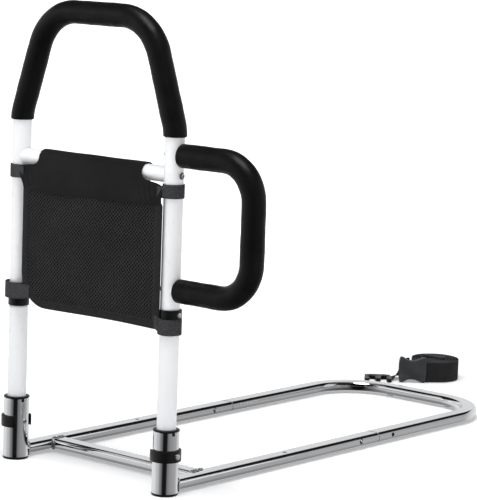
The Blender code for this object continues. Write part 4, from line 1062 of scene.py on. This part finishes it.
def stitches(name, pts, out, body, pitch=0.0036, run=0.0026, r=0.00028):
    """A row of thread stitches lying on a surface: pts with their outward normals, at even steps."""
    s = [0.0]
    for (a, _), (b, _) in zip(pts, pts[1:]):
        s.append(s[-1] + (b - a).length)
    verts, faces, n = [], [], int(s[-1] / pitch)

    def where(t):
        j = min(int(np.searchsorted(s, t, side="right")) - 1, len(pts) - 2)
        f = (t - s[j]) / max(1e-9, s[j + 1] - s[j])
        return pts[j][0].lerp(pts[j + 1][0], f), pts[j][1].lerp(pts[j + 1][1], f).normalized()
    for i in range(n):
        t0 = (i + 0.5) * pitch - run / 2
        rings = []
        for f, k, lift in ((0, 0.35, -0.0003), (0.15, 1.0, 0.0), (0.5, 1.1, 0.00012), (0.85, 1.0, 0.0), (1, 0.35, -0.0003)):
            p, m = where(t0 + run * f)
            d = (where(t0 + run)[0] - where(t0)[0]).normalized()
            q = d.cross(m).normalized()
            c = p + m * (out + lift)
            rings.append([c + (q * math.cos(a) + m * math.sin(a)) * (r * k) for a in [2 * math.pi * j / 6 for j in range(6)]])
        b = len(verts)
        verts += [w for g in rings for w in g]
        faces += skin(rings, start=b) + [tuple(range(b, b + 6)), tuple(range(b + 24, b + 30))]
    return make(name, verts, faces, THREAD, body, angle=80)


line = []
for s in stations(pb.length, 0.003):
    p, u, t = pb.at(s)
    inward = u if u.dot(V((0.011, 0, 0.333)) - p) > 0 else -u
    dz = bottom_z(p.x) - POUCH_LOW - 0.0012 if p.z < 0.26 else 0.0
    q = p + V((0, 0, dz)) + inward * (TW - 0.0018)
    line.append((V((q.x, POUCH_Y - 0.0021 - crown(q.x, q.z), q.z)), V((0, -1, 0))))
stitches("stitch_binding", line, 0.0001, "upper_frame")
line = [(V((x, POUCH_Y - 0.0031, seam_z(x) + 0.0012)), V((0, -1, 0.1)).normalized()) for x in np.linspace(-0.120, 0.142, 90)]
stitches("stitch_flap", line, -0.0001, "upper_frame")


# ---------------------------------------------------------------- hook-and-loop straps of the pouch
def strap(name, pts, heights, wall, mat, body, replaces, half=0.019):
    """A flat strap along points in plan, with its lower and upper edge at each of them."""
    s = [0.0]
    for a, b in zip(pts, pts[1:]):
        s.append(s[-1] + math.hypot(b[0] - a[0], b[1] - a[1]))
    verts, uvs, rings = [], [], []
    for i, p in enumerate(pts):
        a, b = pts[max(0, i - 1)], pts[min(len(pts) - 1, i + 1)]
        t = V((b[0] - a[0], b[1] - a[1], 0)).normalized()
        m = V((-t.y, t.x, 0))
        lo, hi = heights[i]
        mid, h = (lo + hi) / 2, (hi - lo) / 2
        sec = []
        e = wall * 0.45
        for w, z in ((wall / 2, -h + e), (wall / 2, -h * 0.5), (wall / 2, 0), (wall / 2, h * 0.5), (wall / 2, h - e), (wall / 4, h), (-wall / 4, h), (-wall / 2, h - e), (-wall / 2, h * 0.5),
                     (-wall / 2, 0), (-wall / 2, -h * 0.5), (-wall / 2, -h + e), (-wall / 4, -h), (wall / 4, -h)):
            sec.append(V((p[0], p[1], mid + z)) + m * w)
            uvs.append((s[i], half * z / h))
        rings.append(sec)
    k = len(rings[0])
    verts = [v for g in rings for v in g]
    faces = skin(rings) + [tuple(range(k)), tuple(range(len(verts) - k, len(verts)))]
    return make(name, verts, faces, mat, body, replaces, uvs=uvs, angle=60)


def wrap(sx, r, wall, bulge, join, z_join, z_post):
    """From the pouch's front across to the post, round it by the outer side, and under its own start."""
    x0 = sx * POST_X
    pts, zz = [], []
    r0 = r + wall * 1.5
    n0, n1 = 10, 76
    tan = math.radians(-96 if sx < 0 else -84)
    for i in range(n0):
        f = i / n0
        q = f * f * (3 - 2 * f)
        ex, ey = x0 + r0 * math.cos(tan), r0 * math.sin(tan)
        pts.append((join[0] + (ex - join[0]) * f, join[1] + (ey - join[1]) * q))
        zz.append((z_join[0] + (z_post[0] - z_join[0]) * q, z_join[1] + (z_post[1] - z_join[1]) * q))
    for i in range(n1 + 1):
        f = i / n1
        a = tan + (-1 if sx < 0 else 1) * math.radians(345) * f
        side = max(0.0, math.cos(a) * sx)
        rr = r0 - (r0 - r - wall / 2) * min(1.0, f * 1.6) + bulge * side ** 4
        rr += 0.00018 * math.sin(a * 5 + sx)
        pts.append((x0 + rr * math.cos(a), rr * math.sin(a)))
        zz.append((z_post[0], z_post[1]))
    return pts, zz


YF = POUCH_Y - 0.0012
p, z = wrap(-1, POST_R + 0.0003, 0.0012, 0.0, (-0.1290, -0.0212), (0.4345, 0.4520), (0.4330, 0.4530))
strap("strap_up_left", p, z, 0.0012, VELCRO, "upper_frame", ("pouch_strap_upper_left",))
p, z = wrap(1, POST_R + 0.0003, 0.0012, 0.0, (0.1430, -0.0212), (0.4335, 0.4500), (0.4330, 0.4530))
strap("strap_up_right", p, z, 0.0012, VELCRO, "upper_frame", ("pouch_strap_upper_right",))
p, z = wrap(-1, POST_R + 0.0036, 0.0013, 0.0032, (-0.1115, YF - 0.0019), (0.2550, 0.2745), (0.2495, 0.2740))
strap("strap_low_left", p, z, 0.0013, VELCRO, "upper_frame", ("pouch_strap_lower_left",))
p, z = wrap(1, POST_R + 0.0018, 0.0013, 0.0, (0.1440, YF - 0.0020), (0.2455, 0.2640), (0.2360, 0.2590))
strap("strap_low_right", p, z, 0.0013, VELCRO, "upper_frame", ("pouch_strap_lower_right",))

# ---------------------------------------------------------------- safety strap, rolled up
RIGHT, FRONT = V((0.7605, 0.6493, 0.0)), V((0.6493, -0.7605, 0.0))
CENTRE = V((COIL[0], COIL[1], 0.0))
TURNS, R0, R1, THICK = 7, 0.0085, 0.0450, 0.0017
OUT = R1 - 0.0340
Z0, Z1 = 0.0004, 0.0004 + WEB_W


def at(a, b, z=0.0):
    return CENTRE + RIGHT * a + FRONT * b + V((0, 0, z))


def ribbon(name, frames, mat, body, replaces, width=WEB_W, thick=THICK):
    """Webbing along frames of (centre, across, out), with rounded selvedges."""
    verts, uvs, rings, s = [], [], [], 0.0
    e = thick / 2
    sec = [(-1, 0, 0), (-0.985, 0.62, 0), (-0.955, 0.92, 0), (-0.6, 1, 0), (0, 1, 0), (0.6, 1, 0), (0.955, 0.92, 0), (0.985, 0.62, 0), (1, 0, 0)]
    sec = sec + [(w, -o, 0) for w, o, _ in reversed(sec[1:-1])]
    for i, (c, across, out) in enumerate(frames):
        if i:
            s += (c - frames[i - 1][0]).length
        rings.append([c + across * (w * width / 2) + out * (o * e) for w, o, _ in sec])
        uvs += [(s, 0.019 * w) for w, o, _ in sec]
    k = len(sec)
    verts = [v for g in rings for v in g]
    faces = skin(rings) + [tuple(range(k)), tuple(range(len(verts) - k, len(verts)))]
    return make(name, verts, faces, mat, body, replaces, uvs=uvs, angle=60), s


frames = []
steps = TURNS * 44
pts = []
for i in range(steps + 1):
    f = i / steps
    ang = 2 * math.pi * TURNS * (f - 1) + math.pi / 2
    r = R0 + (R1 - R0) * f + 0.00035 * math.sin(ang * 2.3) * math.sin(math.pi * f)
    pts.append((r * math.cos(ang), r * math.sin(ang), f))
pts += [(-0.0065, R1 + 0.0006, 1), (-0.0130, R1 + 0.0018, 1), (-0.0165, R1 + 0.0030, 1), (-0.0215, R1 + 0.0028, 1)]
for i, (a, b, f) in enumerate(pts):
    p0, p1 = pts[max(0, i - 1)], pts[min(len(pts) - 1, i + 1)]
    t = V((p1[0] - p0[0], p1[1] - p0[1], 0)).normalized()
    out = RIGHT * (-t.y) + FRONT * t.x
    dz = 0.00025 * math.sin(i * 0.19) * (1 - 0.4 * f)
    frames.append((at(a, b, (Z0 + Z1) / 2 + dz), V((0, 0, 1)) * (1 - 0.012), out))
roll, roll_length = ribbon("strap_rolled", frames, WEB, "base", ("strap_roll",))

frames = []
for i in range(31):
    f = i / 30
    tw = math.pi / 2 * f * f * (3 - 2 * f)
    c = at(-0.0460 - 0.0340 * f, 0.0076 + (OUT + 0.0074) * f, Z0 + WEB_W / 2 * math.cos(tw) + THICK / 2 * math.sin(tw) + 0.0002 + 0.0016 * math.sin(math.pi * f))
    across = FRONT * math.sin(tw) + V((0, 0, 1)) * math.cos(tw)
    out = FRONT * math.cos(tw) - V((0, 0, 1)) * math.sin(tw)
    frames.append((c, across * 0.97, out))
short, short_length = ribbon("strap_short", frames, WEB, "base", ("strap_short_end",))


def plate(name, outline, b0, b1, mat, replaces, upright=True, edge=0.0010, cutters=(), crown_h=0.0):
    """A moulding cut from a smooth outline, upright (across, height) or lying (across, front)."""
    def put(u, v, w):
        return at(u, w, v) if upright else at(u, v, w)
    rings = [[put(u, v, w) for u, v in outline] for w in (b0, b1)]
    k = len(outline)
    verts = [v for g in rings for v in g]
    faces = skin(rings) + [tuple(range(k)), tuple(range(k, 2 * k))]
    o = make(name, verts, faces, mat, "base", replaces, angle=35)
    cs = []
    for line, w0, w1 in cutters:
        g = [put(u, v, w) for w in (w0, w1) for u, v in line]
        n = len(line)
        cs.append(plain("cutter", g, [tuple(range(n)), tuple(range(n, 2 * n))] + [(i, (i + 1) % n, n + (i + 1) % n, n + i) for i in range(n)]))
    if cs:
        cut(o, cs)
    bevel(o, edge, 3, 40)
    return o


def closed(pts, rounds=2):
    """Corner cutting on a closed outline."""
    for _ in range(rounds):
        out = []
        for i, a in enumerate(pts):
            b = pts[(i + 1) % len(pts)]
            out.append((a[0] * 0.78 + b[0] * 0.22, a[1] * 0.78 + b[1] * 0.22))
            out.append((a[0] * 0.22 + b[0] * 0.78, a[1] * 0.22 + b[1] * 0.78))
        pts = out
    return pts


body = closed([(-0.0180, 0.0004), (-0.0180, 0.0464), (-0.0255, 0.0464), (-0.0325, 0.0428), (-0.0400, 0.0405), (-0.0500, 0.0403), (-0.0565, 0.0432), (-0.0600, 0.0464), (-0.0680, 0.0464),
               (-0.0680, 0.0004), (-0.0600, 0.0004), (-0.0560, 0.0034), (-0.0500, 0.0060), (-0.0400, 0.0058), (-0.0325, 0.0036), (-0.0255, 0.0004)], 2)
plate("buckle_socket", body, OUT + 0.0302, OUT + 0.0423, GREY, ("strap_buckle_socket",), True, 0.0011,
      [([(-0.0300, 0.0070), (-0.0300, 0.0400), (-0.0720, 0.0400), (-0.0720, 0.0070)], OUT + 0.0327, OUT + 0.0398),
       ([(-0.0165, 0.0035), (-0.0165, 0.0435), (-0.0235, 0.0435), (-0.0235, 0.0035)], OUT + 0.0345, OUT + 0.0385)])
# raised rim round the socket's mouth
lip = closed([(-0.0678, 0.0010), (-0.0678, 0.0458), (-0.0610, 0.0458), (-0.0600, 0.0440), (-0.0600, 0.0028), (-0.0610, 0.0010)], 1)
plate("buckle_rim", lip, OUT + 0.0420, OUT + 0.0429, GREY, (), True, 0.0004)

tongue = [(-0.1280, 0.0060), (-0.1285, 0.0200), (-0.1275, 0.0270), (-0.1295, 0.0340), (-0.1302, 0.0420), (-0.1290, 0.0465), (-0.1262, 0.0490), (-0.1228, 0.0480),
          (-0.1205, 0.0430), (-0.1203, 0.0370), (-0.1225, 0.0290), (-0.1225, 0.0240), (-0.1205, 0.0215), (-0.1118, 0.0215), (-0.1108, 0.0260), (-0.1092, 0.0430), (-0.1075, 0.0462), (-0.1025, 0.0462),
          (-0.1008, 0.0430), (-0.0992, 0.0260), (-0.0982, 0.0215), (-0.0895, 0.0215), (-0.0875, 0.0240), (-0.0875, 0.0290), (-0.0897, 0.0370), (-0.0895, 0.0430), (-0.0872, 0.0480), (-0.0838, 0.0490), (-0.0810, 0.0465),
          (-0.0798, 0.0420), (-0.0805, 0.0340), (-0.0825, 0.0270), (-0.0815, 0.0200), (-0.0820, 0.0060)]
tongue = [(a, b + OUT) for a, b in tongue]
plate("buckle_plug", closed(tongue, 1), 0.0004, 0.0072, BLACK, ("strap_buckle_plug",), False, 0.0009,
      [([(-0.1245, OUT + 0.0090), (-0.1245, OUT + 0.0120), (-0.0855, OUT + 0.0120), (-0.0855, OUT + 0.0090)], -0.002, 0.012)])
# ribs across the plug's thumb bar
for i in range(13):
    a = -0.1240 + 0.0030 * i
    rib = [(a, OUT + 0.0150), (a, OUT + 0.0195), (a + 0.0014, OUT + 0.0195), (a + 0.0014, OUT + 0.0150)]
    plate(f"buckle_rib_{i:02d}", rib, 0.0068, 0.0080, BLACK, (), False, 0.0003)

ca, sa = math.cos(math.radians(38)), math.sin(math.radians(38))
turn = lambda pts: [(u * ca - v * sa, u * sa + v * ca) for u, v in pts]
bar = turn(closed([(-0.0212, -0.0050), (-0.0190, -0.0063), (0.0190, -0.0063), (0.0212, -0.0050), (0.0212, 0.0050), (0.0190, 0.0063), (-0.0190, 0.0063), (-0.0212, 0.0050)], 2))
slots = [turn([(-0.0165, y), (0.0165, y), (0.0165, y + 0.0026), (-0.0165, y + 0.0026)]) for y in (-0.0044, 0.0018)]
plate("slider", bar, Z1 + 0.0004, Z1 + 0.0040, GREY, ("strap_slider",), False, 0.0009, [(s, Z1 - 0.003, Z1 + 0.008) for s in slots])

# ---------------------------------------------------------------- CAD nodes that stay
for side in ("left", "right"):
    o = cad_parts[f"button_spring_{side}"]
    for s in o.material_slots:
        s.material = ZINC

# ---------------------------------------------------------------- floor, light, camera
az, el, ro = math.radians(40.4873), math.radians(8.1485), math.radians(1.967)
c = V((math.sin(az) * math.cos(el), -math.cos(az) * math.cos(el), math.sin(el)))
rt = V((math.cos(az), math.sin(az), 0))
up = c.cross(rt)
rt2, up2 = rt * math.cos(ro) + up * math.sin(ro), -rt * math.sin(ro) + up * math.cos(ro)
cam = bpy.data.cameras.new("camera")
cam.sensor_fit, cam.sensor_width, cam.lens = "AUTO", 36.0, 2372.3976 / 500 * 36
cam.clip_start, cam.clip_end = 0.05, 60
co = bpy.data.objects.new("camera", cam)
bpy.context.scene.collection.objects.link(co)
m = Matrix((rt2, up2, c)).transposed().to_4x4()
m.translation = V((0.2802, 0, 0.3729)) + c * 3.3056 + S
co.matrix_world = m
bpy.context.scene.camera = co

fm = Mat("pale_floor", (0.93, 0.93, 0.935), 0.75, Emission_Strength=0.0)
fm.rough(fm.spread(fm.noise(3, 2), 0.3, 0.7, 0.7, 0.8))
fm.b.inputs["Emission Color"].default_value = (1, 1, 1, 1)
fo = fm.xyz()
far = fm.math("SQRT", fm.math("ADD", fm.math("MULTIPLY", fo["X"], fo["X"]), fm.math("MULTIPLY", fo["Y"], fo["Y"])))
fm.link(fm.spread(far, 0.7, 2.2, 0.26, 1.0), fm.b.inputs["Emission Strength"])
me = bpy.data.meshes.new("floor")
n = 96
me.from_pydata([(0, 0, -0.0002)] + [(30 * math.cos(2 * math.pi * i / n), 30 * math.sin(2 * math.pi * i / n), -0.0002) for i in range(n)], [], [(0, 1 + i, 1 + (i + 1) % n) for i in range(n)])
me.materials.append(fm.m)
floor = bpy.data.objects.new("floor", me)
bpy.context.scene.collection.objects.link(floor)
floor.visible_glossy = False

# a white studio: what bright metal sees is a pale room with a dark card behind the camera and a dim ceiling
w = bpy.data.worlds.new("studio")
bpy.context.scene.world = w
w.use_nodes = True
t = w.node_tree
t.nodes.clear()


def wn(kind, **props):
    q = t.nodes.new(kind)
    for k, v in props.items():
        setattr(q, k, v)
    return q


def wm(op, *args, clamp=False):
    q = wn("ShaderNodeMath", operation=op, use_clamp=clamp)
    for i, v in enumerate(args):
        if isinstance(v, (int, float)):
            q.inputs[i].default_value = v
        else:
            t.links.new(v, q.inputs[i])
    return q.outputs[0]


def ramp(fac, stops):
    q = wn("ShaderNodeValToRGB")
    q.color_ramp.interpolation = "EASE"
    el_ = q.color_ramp.elements
    while len(el_) > 1:
        el_.remove(el_[-1])
    el_[0].position, el_[0].color = stops[0][0], (stops[0][1],) * 3 + (1,)
    for pos, val in stops[1:]:
        e = el_.new(pos)
        e.color = (val,) * 3 + (1,)
    t.links.new(fac, q.inputs["Fac"])
    return q.outputs["Color"]


tc = wn("ShaderNodeTexCoord")
sep = wn("ShaderNodeSeparateXYZ")
t.links.new(tc.outputs["Generated"], sep.inputs[0])
X, Y, Z = sep.outputs
fwd = wm("ADD", wm("MULTIPLY", X, math.sin(az)), wm("MULTIPLY", Y, -math.cos(az)))
sid = wm("ADD", wm("MULTIPLY", X, math.cos(az)), wm("MULTIPLY", Y, math.sin(az)))
turnd = wm("ARCTAN2", sid, fwd)                                    # 0 behind the camera, + to its right
a01 = wm("MULTIPLY_ADD", turnd, 0.5 / math.pi, 0.5)


def deg(d):
    return 0.5 + d / 360.0


room = ramp(a01, [(0.0, 0.86), (deg(-150), 0.95), (deg(-108), 0.96), (deg(-66), 0.62), (deg(-36), 0.24), (deg(-17), 0.01), (deg(9), 0.01), (deg(24), 0.24),
                  (deg(48), 0.36), (deg(92), 0.45), (deg(138), 0.90), (1.0, 0.86)])
elev = wm("ARCSINE", Z)
e01 = wm("MULTIPLY_ADD", elev, 1 / math.pi, 0.5)
ceil_ = ramp(e01, [(0.0, 0.15), (0.5 - 42 / 180, 0.32), (0.5 - 24 / 180, 0.85), (0.5 - 4 / 180, 1.0), (0.5 + 5 / 180, 0.90), (0.5 + 17 / 180, 0.90), (0.5 + 24 / 180, 0.02),
                   (0.5 + 54 / 180, 0.01), (0.5 + 66 / 180, 0.5), (1.0, 0.7)])
mul = wn("ShaderNodeMix", data_type="RGBA", blend_type="MULTIPLY")
mul.inputs["Factor"].default_value = 1.0
ins = [q for q in mul.inputs if q.type == "RGBA"]
t.links.new(room, ins[0])
t.links.new(ceil_, ins[1])
lp = wn("ShaderNodeLightPath")
bg_cam, bg_gloss, bg_soft = wn("ShaderNodeBackground"), wn("ShaderNodeBackground"), wn("ShaderNodeBackground")
bg_cam.inputs["Color"].default_value = (1, 1, 1, 1)
bg_cam.inputs["Strength"].default_value = 1.02
t.links.new([q for q in mul.outputs if q.type == "RGBA"][0], bg_gloss.inputs["Color"])
bg_gloss.inputs["Strength"].default_value = 1.08
bg_soft.inputs["Color"].default_value = (0.97, 0.98, 1.0, 1)
bg_soft.inputs["Strength"].default_value = 0.46
m1, m2, out = wn("ShaderNodeMixShader"), wn("ShaderNodeMixShader"), wn("ShaderNodeOutputWorld")
t.links.new(lp.outputs["Is Glossy Ray"], m1.inputs[0])
t.links.new(bg_soft.outputs[0], m1.inputs[1])
t.links.new(bg_gloss.outputs[0], m1.inputs[2])
t.links.new(lp.outputs["Is Camera Ray"], m2.inputs[0])
t.links.new(m1.outputs[0], m2.inputs[1])
t.links.new(bg_cam.outputs[0], m2.inputs[2])
t.links.new(m2.outputs[0], out.inputs["Surface"])


def area(name, az_d, el_d, dist, size, power, aim=(0, 0, 0.30)):
    """A soft box. Azimuth 0 is behind the camera's own side, + to the camera's right."""
    a, e = az + math.radians(az_d), math.radians(el_d)
    d = V((math.sin(a) * math.cos(e), -math.cos(a) * math.cos(e), math.sin(e)))
    li = bpy.data.lights.new(name, "AREA")
    li.shape, li.size, li.size_y, li.energy = "RECTANGLE", size[0], size[1], power
    o = bpy.data.objects.new(name, li)
    bpy.context.scene.collection.objects.link(o)
    o.location = V(aim) + d * dist
    o.rotation_euler = d.to_track_quat("Z", "Y").to_euler()
    return o


area("top_box", -20, 66, 2.4, (1.1, 1.1), 46)
area("left_box", -75, 25, 2.6, (1.4, 1.8), 5)
area("right_box", 80, 22, 2.6, (1.4, 1.8), 5)

vs = bpy.context.scene.view_settings
vs.view_transform, vs.look, vs.exposure, vs.gamma = "Standard", "None", 0.0, 1.0
